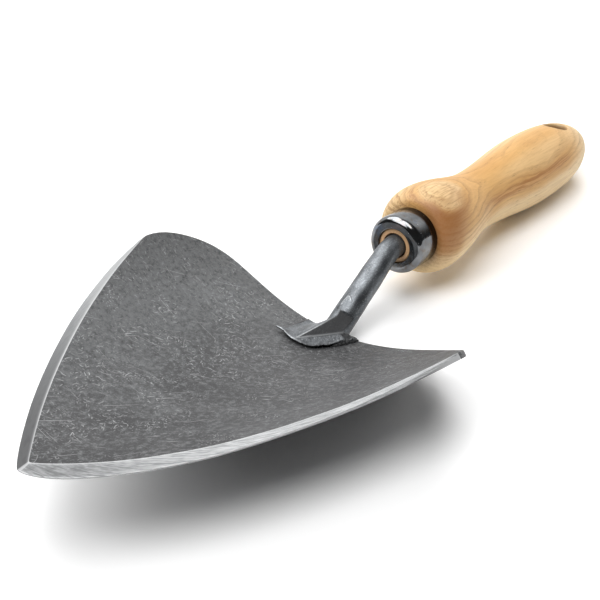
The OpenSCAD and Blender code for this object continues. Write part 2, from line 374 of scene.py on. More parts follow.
@dataclass(frozen=True)
class Flecks:
    """Short flecks of all lengths that lie every way, some of them bent: sizes in mm."""

    cell: float
    half_length: float
    half_width: float
    share: float
    shift: Triple = (7.3, 11.9, 0.0)
    bend: float = 1.2
    bend_draw: float = 9.7
    core_length: float = 0.4
    core_width: float = 0.3
    share_fade: float = 0.05
    strengths: Levels = (0.35, 1.0)

    def drawn(self, shader: Shader, plan: Socket) -> Value:
        """Strew the flecks.

        Args:
            shader: The shader.
            plan: Where the pattern is looked up, in mm.

        Returns:
            Up to 1 in a fleck and 0 elsewhere.
        """
        moved = shader.vector("ADD", plan, tuple(way * self.cell for way in self.shift))
        grid = shader.add("ShaderNodeTexVoronoi", {"feature": "F1", "voronoi_dimensions": "2D"},
                          {"Vector": moved, "Scale": 1.0 / self.cell})
        own = shader.vector("SUBTRACT", moved, grid.outputs["Position"])
        chance, turn, strength = shader.split(grid.outputs["Color"])
        along, across, _ = shader.split(shader.turned(own, Axis.Z, turn * FULL_TURN))
        bow = (chance * self.bend_draw).fraction().centred() * (self.bend / self.half_length)
        bent = across + along * along * bow
        stroke = (abs(along) * (2.0 - strength)).step(self.half_length, self.core_length * self.half_length)
        stroke = stroke * abs(bent).step(self.half_width, self.core_width * self.half_width)
        drawn = chance.step(1.0 - self.share, 1.0 - self.share + self.share_fade)
        return stroke * drawn * strength.between(*self.strengths)


@dataclass(frozen=True)
class Region:
    """A soft-edged region: its share, and the levels in mm where it starts and is full, each way."""

    share: float
    edges: Tuple[Tuple[Way, float, float], ...]

    def share_at(self, ways: Dict[Way, Value]) -> Value:
        """Give the region's share over the surface.

        Args:
            ways: The surface's place, each way.

        Returns:
            The share inside and 0 outside.
        """
        inside = None
        for way, start, full in self.edges:
            edge = ways[way].step(start, full)
            inside = edge if inside is None else inside * edge
        return inside * self.share


def weighted(weights: Weights, *values: Number) -> Value:
    """Add up values by their weights."""
    return sum(weight * value for weight, value in zip(weights, values))


class Finish:
    """What every finish of the spade shares."""

    name: str = "finish"

    def shader(self) -> Shader:
        """Start the finish's material."""
        return Shader(bpy.data.materials.new(self.name))


@dataclass(frozen=True)
class PlateSteel(Finish):
    """Grey forged steel of the blade, granular and scratched all over: places in mm."""

    name: str = "scratched_forged_steel"
    pit: Colour = srgb(62, 62, 63)
    dark: Colour = srgb(70, 70, 71)
    grey: Colour = srgb(88, 88, 89)
    cool: Colour = srgb(132, 134, 135)
    scratch: Colour = srgb(190, 191, 192)
    cloud: Pattern = Pattern(0.035, 3.0)
    cloud_level: Levels = (0.3, 0.7)
    grain: Pattern = Pattern(0.6, 3.0, 0.65)
    grain_share: float = 3.0
    fine: Pattern = Pattern(2.3, 1.0)
    fine_share: float = 1.1
    busy: Pattern = Pattern(0.06, level=(0.36, 0.64))
    busy_side: Levels = (-30.0, 12.0)
    busy_sides: Levels = (0.3, 1.0)
    small_flecks: Flecks = Flecks(0.85, 0.4, 0.17, 0.35)
    small_share: float = 0.65
    large_flecks: Tuple[Flecks, ...] = (Flecks(1.5, 0.95, 0.19, 0.38), Flecks(2.7, 1.7, 0.19, 0.42))
    fleck_range: Levels = (0.15, 1.0)
    scuffed: Pattern = Pattern(0.1, 1.0, level=(0.63, 0.72))
    scuffs: Tuple[Triple, ...] = (
        (-50.0, 54.0, 5.0), (-54.0, 7.0, 5.0), (-59.0, -24.0, 4.5), (-47.0, -32.0, 4.0))
    scuff_core: float = 0.3
    scuff_patches: Pattern = Pattern(0.3, level=(0.4, 0.6))
    scuff_flecks: Flecks = Flecks(0.95, 0.5, 0.17, 0.75)
    hairs: Flecks = Flecks(7.3, 3.6, 0.13, 0.3)
    hair_range: Levels = (0.3, 0.8)
    long: Tuple[Scratches, ...] = (
        Scratches(1.75, 15.0, 0.3, (0.82, 0.86), 31.0),
        Scratches(1.1, 18.0, 0.3, (0.805, 0.84), 47.0),
        Scratches(0.55, 18.0, 0.3, (0.805, 0.84), 53.3))
    long_share: float = 0.7
    right_side: Levels = (10.0, -15.0)
    soft: Scratches = Scratches(0.92, 16.0, 1.3, (0.6, 0.8), 71.0)
    soft_share: float = 0.2
    dashes: Scratches = Scratches(0.92, 4.5, 0.45, (0.71, 0.77), 83.0)
    dash_patches: Pattern = Pattern(0.07, 1.0, level=(0.48, 0.6))
    dash_share: float = 0.6
    rub: Pattern = Pattern(0.022, 4.0, 0.65, (0.5, 0.75))
    rub_share: float = 0.4
    left_side: Levels = (5.0, 45.0)
    left_share: float = 0.6
    mark_share: float = 0.8
    metallic: float = 0.55
    rough: Weights = (0.5, 0.16, -0.1, 0.08)
    relief: Weights = (0.5, 0.2, 0.3)
    bump: Levels = (0.00016, 0.6)

    def marks(self, s: Shader, plan: Socket, left: Value) -> Value:
        """Draw all the bright flecks and scratches.

        Args:
            s: The shader.
            plan: The surface's place in plan, in mm.
            left: Its distance to the left, in mm.

        Returns:
            Up to 1 in a mark and 0 elsewhere.
        """
        busy = s.noise(plan, self.busy) * left.step(*self.busy_side).between(*self.busy_sides)
        flecks = self.small_flecks.drawn(s, plan) * self.small_share
        for layer in self.large_flecks:
            flecks = flecks.most(layer.drawn(s, plan))
        flecks = flecks * busy.between(*self.fleck_range)
        patches = s.noise(plan, self.scuff_patches)
        scuffed = s.noise(plan, self.scuffed)
        for x, y, size in self.scuffs:
            off = s.measured("DISTANCE", plan, (x, y, 0.0))
            scuffed = scuffed.most(off.step(size, self.scuff_core * size) * patches)
        flecks = flecks.most(self.scuff_flecks.drawn(s, plan) * scuffed)
        flecks = flecks.most(self.hairs.drawn(s, plan) * busy.between(*self.hair_range))
        for layer in self.long:
            flecks = flecks.most(layer.drawn(s, plan) * self.long_share)
        dashes = self.dashes.drawn(s, plan) * left.step(*self.right_side)
        return flecks.most(dashes * s.noise(plan, self.dash_patches) * self.dash_share)

    def material(self) -> Material:
        """Build the blade's main material.

        Returns:
            The material.
        """
        s = self.shader()
        place = s.place()
        plan = s.vector("MULTIPLY", place, (1.0, 1.0, 0.0))
        _, left, _ = s.split(place)
        cloud = s.noise(plan, self.cloud)
        grain = s.noise(place, self.grain)
        fine = s.noise(place, self.fine)
        uneven = grain.centred() * self.grain_share + fine.centred() * self.fine_share
        marks = self.marks(s, plan, left)
        soft = self.soft.drawn(s, plan) * left.step(*self.right_side)
        rub = s.noise(plan, self.rub)
        tone = s.blend(cloud.step(*self.cloud_level), self.dark, self.grey)
        tone = s.blend(rub * self.rub_share + left.step(*self.left_side) * self.left_share, tone, self.cool)
        tone = s.blend(soft * self.soft_share, tone, self.cool)
        tone = s.blend(uneven, tone, self.cool)
        tone = s.blend(-uneven, tone, self.pit)
        tone = s.blend(marks * self.mark_share, tone, self.scratch)
        return s.surface({
            "Base Color": tone, "Metallic": self.metallic,
            "Roughness": weighted(self.rough, 1, grain.centred(), marks, cloud),
            "Normal": s.bump(weighted(self.relief, grain, fine, 1 - marks), *self.bump)})


@dataclass(frozen=True)
class GroundSteel(Finish):
    """Bright steel of the ground cutting edge, duller on the left and at the tip.

    Runs along the edge are in mm from the tip, positive on the left. Across the bevel the cutting edge
    is 0, the arris 1 and the lower face -1. Sides hold a number for the right half and one for the left.
    """

    name: str = "ground_edge_steel"
    pale: Colour = srgb(196, 197, 198)
    mid: Colour = srgb(142, 144, 145)
    dark: Colour = srgb(92, 93, 94)
    # Bright: grinding marks, and the painted highlights on the arris and the cutting edge.
    bright: Colour = srgb(220, 221, 222)
    land: Colour = srgb(84, 84, 85)
    streak_run: float = 13.0
    streak: Pattern = Pattern((7.0, 0.16, 1.0), 3.0, 0.7)
    fine: Pattern = Pattern((14.0, 0.6, 1.0), 1.0)
    fine_seed: float = 3.0
    patch: Pattern = Pattern((0.3, 2.5, 1.0), 3.0, level=(0.45, 0.65))
    patch_seed: float = 4.0
    left_run: Levels = (-1.0, 1.0)
    tip_run: Levels = (56.0, 4.0)
    tip_share: float = 0.6
    tip_left_share: float = 0.75
    # Reach and strength of the painted highlight on the mitre at the tip.
    mitre_highlight_run: Levels = (0.8, 0.25)
    mitre_highlight_share: float = 0.6
    land_run: Levels = (96.0, 118.0)
    land_start: Levels = (0.0, 0.1)
    land_edge: Levels = (0.1, -0.1)
    land_grown: float = 0.75
    land_pale_run: Levels = (100.0, 115.0)
    # Reach and strength of the painted highlight along the right cutting edge.
    edge_highlight_across: Levels = (0.12, 0.02)
    edge_highlight_streak: Levels = (0.4, 0.55)
    edge_highlight_share: float = 0.6
    pale_streak: Levels = (0.4, 0.58)
    pale_sides: Levels = (1.0, 0.2)
    pale_run: Levels = (66.0, 96.0)
    pale_share: float = 0.4
    mid_sides: Levels = (2.6, 0.6)
    bright_sides: Levels = (1.8, 0.4)
    patch_sides: Levels = (0.2, 0.1)
    dull_run: Levels = (85.0, 45.0)
    dull_share: float = 0.6
    far_run: Levels = (72.0, 105.0)
    far_share: float = 0.6
    # Strength of the painted highlight along the arris, away from the tip and at it.
    arris_highlight_range: Levels = (0.95, 0.65)
    metallic: float = 0.35
    rough: Weights = (0.45, 0.2, 0.1, 0.3)
    relief: Weights = (0.6, 0.4)
    bump: Levels = (0.00008, 0.5)

    def material(self) -> Material:
        """Build the material of the bevel, streaked by the grinding wheel.

        Returns:
            The material.
        """
        s = self.shader()
        run, across, arris = s.carried("edge_place")
        skew = across - run * (1.0 / self.streak_run)
        streak = s.noise(s.joined(skew, run), self.streak)
        fine = s.noise(s.joined(skew, run, self.fine_seed), self.fine)
        left = run.step(*self.left_run)
        tip = abs(run).step(*self.tip_run)
        patch = s.noise(s.joined(run, across, self.patch_seed), self.patch) * tip
        raw = abs(run).step(*self.land_run)
        land = (across + 1.0 - self.land_grown * raw).step(*self.land_edge) * raw.step(*self.land_start)
        land_tone = s.blend(abs(run).step(*self.land_pale_run), self.land, self.pale)
        # Painted highlight along the right cutting edge.
        edge_highlight = across.step(*self.edge_highlight_across) * streak.step(*self.edge_highlight_streak) * (1 - left)
        shine = streak.step(*self.pale_streak) * left.between(*self.pale_sides)
        dull = left * run.step(*self.dull_run)
        tone = s.blend(shine + self.pale_share * run.step(*self.pale_run), self.mid, self.pale)
        tone = s.blend(fine.centred() * left.between(*self.mid_sides), tone, self.mid)
        tone = s.blend(-fine.centred() * left.between(*self.bright_sides), tone, self.bright)
        tone = s.blend(tip * self.tip_share + patch * left.between(*self.patch_sides), tone, self.dark)
        tone = s.blend(tip * left * self.tip_left_share, tone, self.land)
        tone = s.blend(dull * self.dull_share, tone, self.land)
        tone = s.blend(run.step(*self.far_run) * self.far_share, tone, self.pale)
        tone = s.blend(edge_highlight * self.edge_highlight_share, tone, self.bright)
        # Painted highlight along the arris.
        tone = s.blend(arris * tip.between(*self.arris_highlight_range), tone, self.bright)
        # Painted highlight on the mitre at the tip.
        tone = s.blend(abs(run).step(*self.mitre_highlight_run) * self.mitre_highlight_share, tone, self.pale)
        tone = s.blend(land, tone, land_tone)
        return s.surface({
            "Base Color": tone, "Metallic": self.metallic,
            "Roughness": weighted(self.rough, 1, streak.centred(), patch, dull),
            "Normal": s.bump(weighted(self.relief, streak, fine), *self.bump)})


@dataclass(frozen=True)
class TangSteel(Finish):
    """Pale grey forged steel of the tang, with painted highlights along its ridge, crease and rims."""

    name: str = "rubbed_forged_steel"
    dark: Colour = srgb(80, 83, 86)
    pale: Colour = srgb(131, 135, 139)
    # Scale: dark forge scale on the apron, and painted shade on the flat to the right of the ridge.
    scale: Colour = srgb(50, 50, 51)
    # Bright: random sparks, and the painted highlights on the ridge, crease, rim and base line.
    bright: Colour = srgb(206, 209, 211)
    # Near-black painted shade for the gap under the leaf's lifted rim.
    rim_shade: Colour = srgb(18, 18, 19)
    grain: Pattern = Pattern(1.5, 3.0, 0.65)
    grain_share: float = 1.6
    grain_least: float = 0.2
    fine: Pattern = Pattern(3.4, 1.0)
    cloud: Pattern = Pattern((0.14, 0.35, 0.14), 3.0, level=(0.3, 0.72))
    pit_level: Levels = (0.4, 0.28)
    pit_share: float = 0.35
    spark_level: Levels = (0.62, 0.72)
    spark_share: float = 0.4
    scale_range: Levels = (0.8, 1.0)
    apron_start: Levels = (0.15, 0.4)
    apron_end: Levels = (0.85, 0.6)
    apron_grain: Levels = (0.45, 0.7)
    apron_share: float = 0.5
    apron_sparks: float = 0.45
    metallic: Levels = (0.78, 0.28)
    rough: Weights = (0.41, 0.2, 0.28, -0.08, 0.25)
    relief: Weights = (0.7, 0.3)
    bump: Levels = (0.00022, 0.6)

    def material(self) -> Material:
        """Build the tang's material from its forging marks and painted light.

        Returns:
            The material.
        """
        s = self.shader()
        place = s.place()
        rub, scale, rim_shade = s.carried("forge_marks")
        grain = s.noise(place, self.grain)
        fine = s.noise(place, self.fine)
        apron = scale.step(*self.apron_start) * scale.step(*self.apron_end)
        sparks = fine.step(*self.spark_level)
        tone = s.blend(s.noise(place, self.cloud), self.dark, self.pale)
        tone = s.blend(grain.centred() * self.grain_share + self.grain_least, tone, self.dark)
        tone = s.blend(fine.step(*self.pit_level) * self.pit_share, tone, self.scale)
        tone = s.blend(sparks * self.spark_share, tone, self.bright)
        # Scale, which on the flat to the right of the ridge is painted shade.
        tone = s.blend(scale * grain.between(*self.scale_range), tone, self.scale)
        tone = s.blend(grain.step(*self.apron_grain) * apron * self.apron_share, tone, self.pale)
        tone = s.blend(sparks * apron * self.apron_sparks, tone, self.bright)
        # Painted highlights along the ridge, the crease, the leaf's rim and the base line.
        tone = s.blend(rub, tone, self.bright)
        # Painted shade on the leaf's rim wall and in the gap under it.
        tone = s.blend(rim_shade, tone, self.rim_shade)
        return s.surface({
            "Base Color": tone, "Metallic": scale.between(*self.metallic),
            "Roughness": weighted(self.rough, 1, grain.centred(), scale, rub, rim_shade),
            "Normal": s.bump(weighted(self.relief, grain, fine), *self.bump)})


@dataclass(frozen=True)
class WeldSteel(Finish):
    """Dark granular weld, paler on the bead to the left of the leaf."""

    name: str = "granular_weld_steel"
    dark: Colour = srgb(30, 30, 31)
    mid: Colour = srgb(72, 72, 73)
    plate: Colour = srgb(104, 104, 105)
    spark: Colour = srgb(178, 178, 178)
    grain: Pattern = Pattern(1.9, 3.0, 0.65)
    grain_level: Levels = (0.35, 0.65)
    spark_grid: Levels = (1.3, 0.2)
    spark_share: float = 0.5
    left_side: Levels = (7.0, 10.0)
    left_share: float = 0.75
    metallic: float = 0.5
    rough_range: Levels = (0.62, 0.42)
    bump: Levels = (0.0004, 0.8)

    def material(self) -> Material:
        """Build the material of the weld beads.

        Returns:
            The material.
        """
        s = self.shader()
        place = s.place()
        _, left, _ = s.split(place)
        grain = s.noise(place, self.grain)
        sparks = s.specks(place, *self.spark_grid)
        tone = s.blend(grain.step(*self.grain_level), self.dark, self.mid)
        tone = s.blend(left.step(*self.left_side) * self.left_share, tone, self.plate)
        tone = s.blend(sparks * self.spark_share, tone, self.spark)
        return s.surface({
            "Base Color": tone, "Metallic": self.metallic,
            "Roughness": sparks.between(*self.rough_range),
            "Normal": s.bump(grain, *self.bump)})


@dataclass(frozen=True)
class BluedSteel(Finish):
    """Dark blued steel of the ferrule, polished, with painted shade darkening the reflection along its rear.
    """

    name: str = "blued_ferrule_steel"
    dark: Colour = srgb(104, 106, 108)
    mid: Colour = srgb(140, 142, 144)
    blue: Colour = srgb(110, 132, 164)
    rose: Colour = srgb(166, 138, 138)
    scratch: Colour = srgb(206, 207, 207)
    patina: Colour = srgb(112, 94, 74)
    # Near-black painted shade for the band along the rear.
    rear_shade: Colour = srgb(34, 34, 36)
    cloud: Pattern = Pattern(0.16, 3.0)
    cloud_level: Levels = (0.3, 0.7)
    tint: Pattern = Pattern(0.25, 1.0)
    blue_level: Levels = (0.6, 0.75)
    blue_share: float = 0.3
    rose_level: Levels = (0.38, 0.27)
    rose_share: float = 0.2
    stains: Pattern = Pattern(0.5, 3.0, 0.6, (0.52, 0.66))
    stain_share: float = 0.45
    # Where the painted shade along the rear starts and is full.
    rear: Levels = (7.5, 9.5)
    rear_shade_share: float = 0.9
    mark_grid: Levels = (0.9, 0.13)
    mark_patches: Pattern = Pattern(0.3, 0.0, level=(0.48, 0.6))
    mark_share: float = 0.8
    grain: Pattern = Pattern(1.6)
    metallic: float = 1.0
    rough: Weights = (0.06, 0.1, 0.05, 0.25)
    bump: Levels = (0.00004, 0.25)

    def material(self) -> Material:
        """Build the ferrule's material, with a faint heat tint, patina and small scratches.

        Returns:
            The material.
        """
        s = self.shader()
        place = s.place()
        along, _, _ = s.carried("ring_place")
        cloud = s.noise(place, self.cloud)
        tint = s.noise(place, self.tint)
        grain = s.noise(place, self.grain)
        marks = s.specks(place, *self.mark_grid) * s.noise(place, self.mark_patches)
        tone = s.blend(cloud.step(*self.cloud_level), self.dark, self.mid)
        tone = s.blend(tint.step(*self.blue_level) * self.blue_share, tone, self.blue)
        tone = s.blend(tint.step(*self.rose_level) * self.rose_share, tone, self.rose)
        tone = s.blend(s.noise(place, self.stains) * self.stain_share, tone, self.patina)
        # Painted shade along the rear, darkening the reflection there.
        tone = s.blend(along.step(*self.rear) * self.rear_shade_share, tone, self.rear_shade)
        tone = s.blend(marks * self.mark_share, tone, self.scratch)
        return s.surface({
            "Base Color": tone, "Metallic": self.metallic,
            "Roughness": weighted(self.rough, 1, cloud, grain.centred(), marks),
            "Normal": s.bump(grain, *self.bump)})


@dataclass(frozen=True)
class AshWood(Finish):
    """Turned and oiled ash, with growth rings about a pith line that lies outside the handle.

    Places are in mm in the handle's own frame; the level counts across the rings.
    """

    name: str = "oiled_ash"
    tilt: float = 0.0
    lift: float = 0.0
    shift: float = 0.0
    hang_s: float = 0.0
    hang_r: float = 0.0
    honey: Colour = srgb(212, 160, 92)
    gold: Colour = srgb(226, 180, 114)
    # Cream: pale sapwood, and painted light on the end, the left side and the upper right.
    cream: Colour = srgb(248, 220, 170)
    line: Colour = srgb(160, 104, 54)
    heart: Colour = srgb(172, 110, 48)
    front: Colour = srgb(164, 113, 70)
    pore: Colour = srgb(128, 84, 46)
    # Bore: darker end grain, and painted shade inside the hanging hole.
    bore: Colour = srgb(92, 58, 30)
    end_grain: Colour = srgb(204, 164, 122)
    ring: float = 2.1
    lean: float = 0.31
    slope: float = 0.05
    wave: Pattern = Pattern((0.016, 0.05, 0.05))
    wave_reach: float = 5.0
    wobble: Pattern = Pattern((0.07, 0.22, 0.22))
    wobble_reach: float = 1.8
    late_start: Levels = (0.4, 0.95)
    late_end: Levels = (1.0, 0.92)
    late_range: Levels = (0.16, 0.66)
    late_sap: float = 0.7
    late_rear: Levels = (1.0, 0.55)
    rear: Levels = (38.0, 60.0)
    strength: Pattern = Pattern((0.33, 1.0, 1.0), 1.0, level=(0.3, 0.75))
    lines: Pattern = Pattern((1.5, 0.04, 1.0), 3.0, 0.65)
    lines_front: Levels = (0.7, 2.9)
    fibres: Pattern = Pattern((0.05, 1.6, 1.6), 3.0, 0.6)
    fibre_share: float = 0.8
    fibre_least: float = 0.04
    fibre_level: Levels = (0.5, 0.66)
    fibre_front: float = 0.35
    pores: Pattern = Pattern((0.16, 3.4, 3.4), 1.0, level=(0.62, 0.74))
    pore_range: Levels = (0.08, 0.58)
    cloud: Pattern = Pattern((0.02, 0.06, 0.06), level=(0.25, 0.75))
    sap: Levels = (2.5, -2.0)
    sap_share: float = 0.85
    heart_region: Region = Region(0.85, (
        (Way.LEVEL, 1.5, 5.0), (Way.LEVEL, 9.0, 5.5), (Way.ALONG, 30.0, 62.0),
        (Way.ALONG, 128.0, 102.0), (Way.LEFT, 2.0, -5.0)))
    heart_lines: Levels = (0.4, 0.6)
    heart_range: Levels = (0.4, 1.0)
    crown: Levels = (12.8, 14.2)
    pale_and_lit_regions: Tuple[Region, ...] = (
        # Painted light towards the rounded end.
        Region(0.85, ((Way.ALONG, 112.0, 142.0),)),
        Region(0.7, ((Way.LEVEL, 12.8, 14.2), (Way.ALONG, 44.0, 34.0))),
        Region(0.55, ((Way.LEVEL, 8.0, 3.0), (Way.ALONG, 17.0, 23.0), (Way.ALONG, 54.0, 38.0))),
        # Painted light along the left side.
        Region(0.7, ((Way.LEFT, 1.0, 9.0),)),
        # Painted highlight along the upper right of the rear half.
        Region(0.35, ((Way.LEVEL, 6.0, 9.0), (Way.LEFT, -3.0, -8.0), (Way.ALONG, 55.0, 75.0))))
    front_rise: float = 1.1
    front_wave: float = 6.0
    front_edge: Levels = (24.0, 4.0)
    front_start: Levels = (6.0, 10.0)
    front_crown: Levels = (0.95, 0.15)
    front_side: Levels = (-9.0, 1.0)
    front_sides: Levels = (1.0, 0.15)
    bore_out: float = 0.8
    bore_in: float = 0.3
    hole_grain_and_shade_share: float = 0.85
    mouth: Levels = (10.0, 5.0)
    mouth_pores: float = 0.5
    metallic: float = 0.0
    gloss: float = 0.4
    rough: Weights = (0.46, 0.16, 0.1)
    relief: Weights = (0.4, 0.4, 0.2)
    bump: Levels = (0.00012, 0.35)

    def material(self) -> Material:
        """Build the wood from its rings, fibres and pores.

        Returns:
            The material.
        """
        s = self.shader()
        lowered = s.vector("SUBTRACT", s.place(), (self.shift / MM, 0.0, self.lift / MM))
        own = s.turned(lowered, Axis.Y, -self.tilt)
        along, left, _ = s.split(own)
        wave = s.noise(own, self.wave).centred()
        wobble = s.noise(own, self.wobble).centred()
        across = (-self.slope, -self.lean, math.sqrt(1 - self.lean ** 2))
        level = s.measured("DOT_PRODUCT", own, across) + wave * self.wave_reach + wobble * self.wobble_reach
        ways = {Way.ALONG: along, Way.LEFT: left, Way.LEVEL: level}
        ring = (level * (1.0 / self.ring)).fraction()
        late = ring.step(*self.late_start) * ring.step(*self.late_end)
        strength = s.noise(s.joined(level, 0.0), self.strength)
        lines = s.noise(s.joined(level, along), self.lines)
        fibres = s.noise(own, self.fibres)
        pores = s.noise(own, self.pores)
        front = (along - level * self.front_rise + wave * self.front_wave).step(*self.front_edge)
        front = front * along.step(*self.front_start)
        sap = level.step(*self.sap)
        heart = lines.step(*self.heart_lines).between(*self.heart_range) * self.heart_region.share_at(ways)
        beside = along - self.hang_s
        hole_grain_and_shade = (beside * beside + left * left).step(
            (self.hang_r + self.bore_out) ** 2, (self.hang_r - self.bore_in) ** 2)
        tone = s.blend(s.noise(own, self.cloud), self.honey, self.gold)
        tone = s.blend(sap * self.sap_share, tone, self.cream)
        tone = s.blend(heart, tone, self.heart)
        # Pale wood, and painted light on the end, the left side and the upper right.
        for region in self.pale_and_lit_regions:
            tone = s.blend(region.share_at(ways), tone, self.cream)
        brown = front * level.step(*self.crown).between(*self.front_crown)
        brown = brown * left.step(*self.front_side).between(*self.front_sides)
        tone = s.blend(brown, tone, self.front)
        ringed = late * strength.between(*self.late_range) * (1 - self.late_sap * sap * (1 - front))
        tone = s.blend(ringed * along.step(*self.rear).between(*self.late_rear), tone, self.line)
        tone = s.blend(lines.centred() * front.between(*self.lines_front), tone, self.line)
        dark_fibres = fibres.step(*self.fibre_level) * front * self.fibre_front
        tone = s.blend(fibres.centred() * self.fibre_share + self.fibre_least + dark_fibres, tone, self.line)
        tone = s.blend(pores * late.between(*self.pore_range), tone, self.pore)
        # Darker end grain and painted shade inside the hanging hole.
        tone = s.blend(hole_grain_and_shade * self.hole_grain_and_shade_share, tone, self.bore)
        mouth_tone = s.blend(pores * self.mouth_pores, self.end_grain, self.line)
        tone = s.blend(along.step(*self.mouth), tone, mouth_tone)
        return s.surface({
            "Base Color": tone, "Metallic": self.metallic,
            "Roughness": weighted(self.rough, 1, fibres.centred(), pores),
            "Normal": s.bump(weighted(self.relief, fibres, 1 - pores, late), *self.bump),
            "Specular IOR Level": self.gloss})


@dataclass(frozen=True)
class Layout:
    """How the tool lies on the ground: from the handle's own frame, in mm, to the part's, in metres."""

    tilt: float
    shift: float
    lift: float

    @classmethod
    def from_hanging_hole(cls, mount: Dict[str, Any], station: float) -> "Layout":
        """Read the lie of the tool from its hanging hole.

        Args:
            mount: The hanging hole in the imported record.
            station: Its distance behind the ferrule's mouth, in mm.

        Returns:
            The layout.
        """
        axis, pos = mount["axis"], mount["pos_m"]
        tilt = math.atan2(axis[0], axis[2])
        return cls(tilt, pos[0] - station * MM * math.cos(tilt), pos[2] + station * MM * math.sin(tilt))

    def place(self, points: Points) -> Points:
        """Lay points of the handle's frame down.

        Args:
            points: Points in mm.

        Returns:
            The same points in the part's frame, in metres.
        """
        x, y, z = (np.asarray(points)[..., i] * MM for i in range(3))
        c, s = math.cos(self.tilt), math.sin(self.tilt)
        return np.stack([x * c + z * s + self.shift, y, -x * s + z * c + self.lift], -1)


def bezier(controls: Sequence[Sequence[float]], t: Points) -> Points:
    """Follow a cubic curve, given by its four points, by shares of its run."""
    r = 1.0 - t
    return np.stack([r ** 3, 3 * r * r * t, 3 * r * t * t, t ** 3], -1) @ np.asarray(controls, float)


def heading(angle: float) -> Points:
    """Give the unit vector at an angle in degrees."""
    return np.array([math.cos(math.radians(angle)), math.sin(math.radians(angle))])


def lerp(first: Any, second: Any, k: Any) -> Any:
    """Go from one value to another by a share."""
    return first + (second - first) * k


def held(values: Any) -> Any:
    """Hold values between 0 and 1."""
    return np.clip(values, 0, 1)


def fade(values: Any, span: Levels) -> Any:
    """Go from 0 at the first level of a span to 1 at the second, and hold there."""
    return held((values - span[0]) / (span[1] - span[0]))


@dataclass(frozen=True)
class Ripple:
    """Smooth unevenness: height in mm, waves for each mm and a seed that makes it differ from others."""

    height: float
    scale: float
    seed: float

    def at(self, points: Points) -> Points:
        """Give a rise for each point, between about minus and plus the height."""
        flat = (points.reshape(-1, 3) * self.scale + self.seed).tolist()
        return self.height * np.array([noise.noise(Vector(p)) for p in flat]).reshape(points.shape[:-1])


def uneven(points: Points, ripples: Sequence[Ripple]) -> Points:
    """Add up the unevenness of several ripples."""
    return sum(one.at(points) for one in ripples)


def new_piece(name: str, points: Points, faces: Faces, sharp: float = 180.0) -> Piece:
    """Make an object of a mesh.

    Args:
        name: The piece's name.
        points: Its points, in the part's frame, in metres.
        faces: Its faces.
        sharp: Angle in degrees above which an edge is shaded sharp.

    Returns:
        The object, in the scene.
    """
    mesh = bpy.data.meshes.new(name)
    mesh.from_pydata(np.asarray(points).reshape(-1, 3).tolist(), [], faces)
    mesh.validate()
    piece = bpy.data.objects.new(name, mesh)
    bpy.context.scene.collection.objects.link(piece)
    shade(mesh, sharp)
    return piece


def shade(mesh: bpy.types.Mesh, sharp: float) -> None:
    """Shade a mesh smooth, apart from its sharp edges, with its faces outwards.

    Args:
        mesh: The mesh.
        sharp: Angle in degrees above which an edge is shaded sharp.
    """
    work = bmesh.new()
    work.from_mesh(mesh)
    bmesh.ops.recalc_face_normals(work, faces=work.faces)
    for face in work.faces:
        face.smooth = True
    limit = math.radians(sharp)
    for edge in work.edges:
        edge.smooth = not (len(edge.link_faces) == 2 and edge.calc_face_angle(0.0) > limit)
    work.to_mesh(mesh)
    work.free()
    mesh.update()


def store(mesh: bpy.types.Mesh, name: str, vectors: Points) -> None:
    """Keep a vector for each point of a mesh, under a name."""
    layer = mesh.attributes.new(name, "FLOAT_VECTOR", "POINT")
    layer.data.foreach_set("vector", np.asarray(vectors, np.float32).ravel())


def tube_faces(rings: int, size: int, closed: bool = False) -> Faces:
    """Join rings of points to a tube.

    Args:
        rings: Number of rings.
        size: Points in each ring.
        closed: Whether the last ring joins the first; otherwise both ends get a cap.

    Returns:
        The faces.
    """
    faces = []
    for c in range(rings if closed else rings - 1):
        here, there = c * size, ((c + 1) % rings) * size
        for i in range(size):
            j = (i + 1) % size
            faces.append([here + i, here + j, there + j, there + i])
    if not closed:
        last = (rings - 1) * size
        faces.append(list(range(size))[::-1])
        faces.append([last + i for i in range(size)])
    return faces


def lathe(profile: Points, sides: int, closed: bool) -> Tuple[Points, Faces]:
    """Turn a profile about the handle's axis.

    Args:
        profile: Stations along the axis and radii, in mm; an open one starts and ends on the axis.
        sides: Number of sides.
        closed: Whether the profile is a closed ring.

    Returns:
        The points in the handle's frame and the faces.
    """
    angles = np.linspace(0.0, FULL_TURN, sides, endpoint=False)
    body = profile if closed else profile[1:-1]
    stations, radii = np.repeat(body[:, :1], sides, 1), body[:, 1:]
    points = np.stack([stations, radii * np.cos(angles), radii * np.sin(angles)], -1).reshape(-1, 3)
    faces = tube_faces(len(body), sides, closed)
    if closed:
        return points, faces
    faces = faces[:-2]
    first, last = len(points), len(points) + 1
    rear = (len(body) - 1) * sides
    for i in range(sides):
        j = (i + 1) % sides
        faces.append([first, j, i])
        faces.append([last, rear + i, rear + j])
    ends = np.array([[profile[0, 0], 0.0, 0.0], [profile[-1, 0], 0.0, 0.0]])
    return np.concatenate([points, ends]), faces


def dress(piece: Piece, node: str, materials: Sequence[Material]) -> None:
    """Give a piece its finish and its place on the tool.

    Args:
        piece: The piece.
        node: The CAD node that it stands for.
        materials: Its materials, in order.
    """
    for material in materials:
        piece.data.materials.append(material)
    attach(piece, BODY)
    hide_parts(node)
    LOG.info("%s: %d faces, stands for %s", piece.name, len(piece.data.polygons), node)


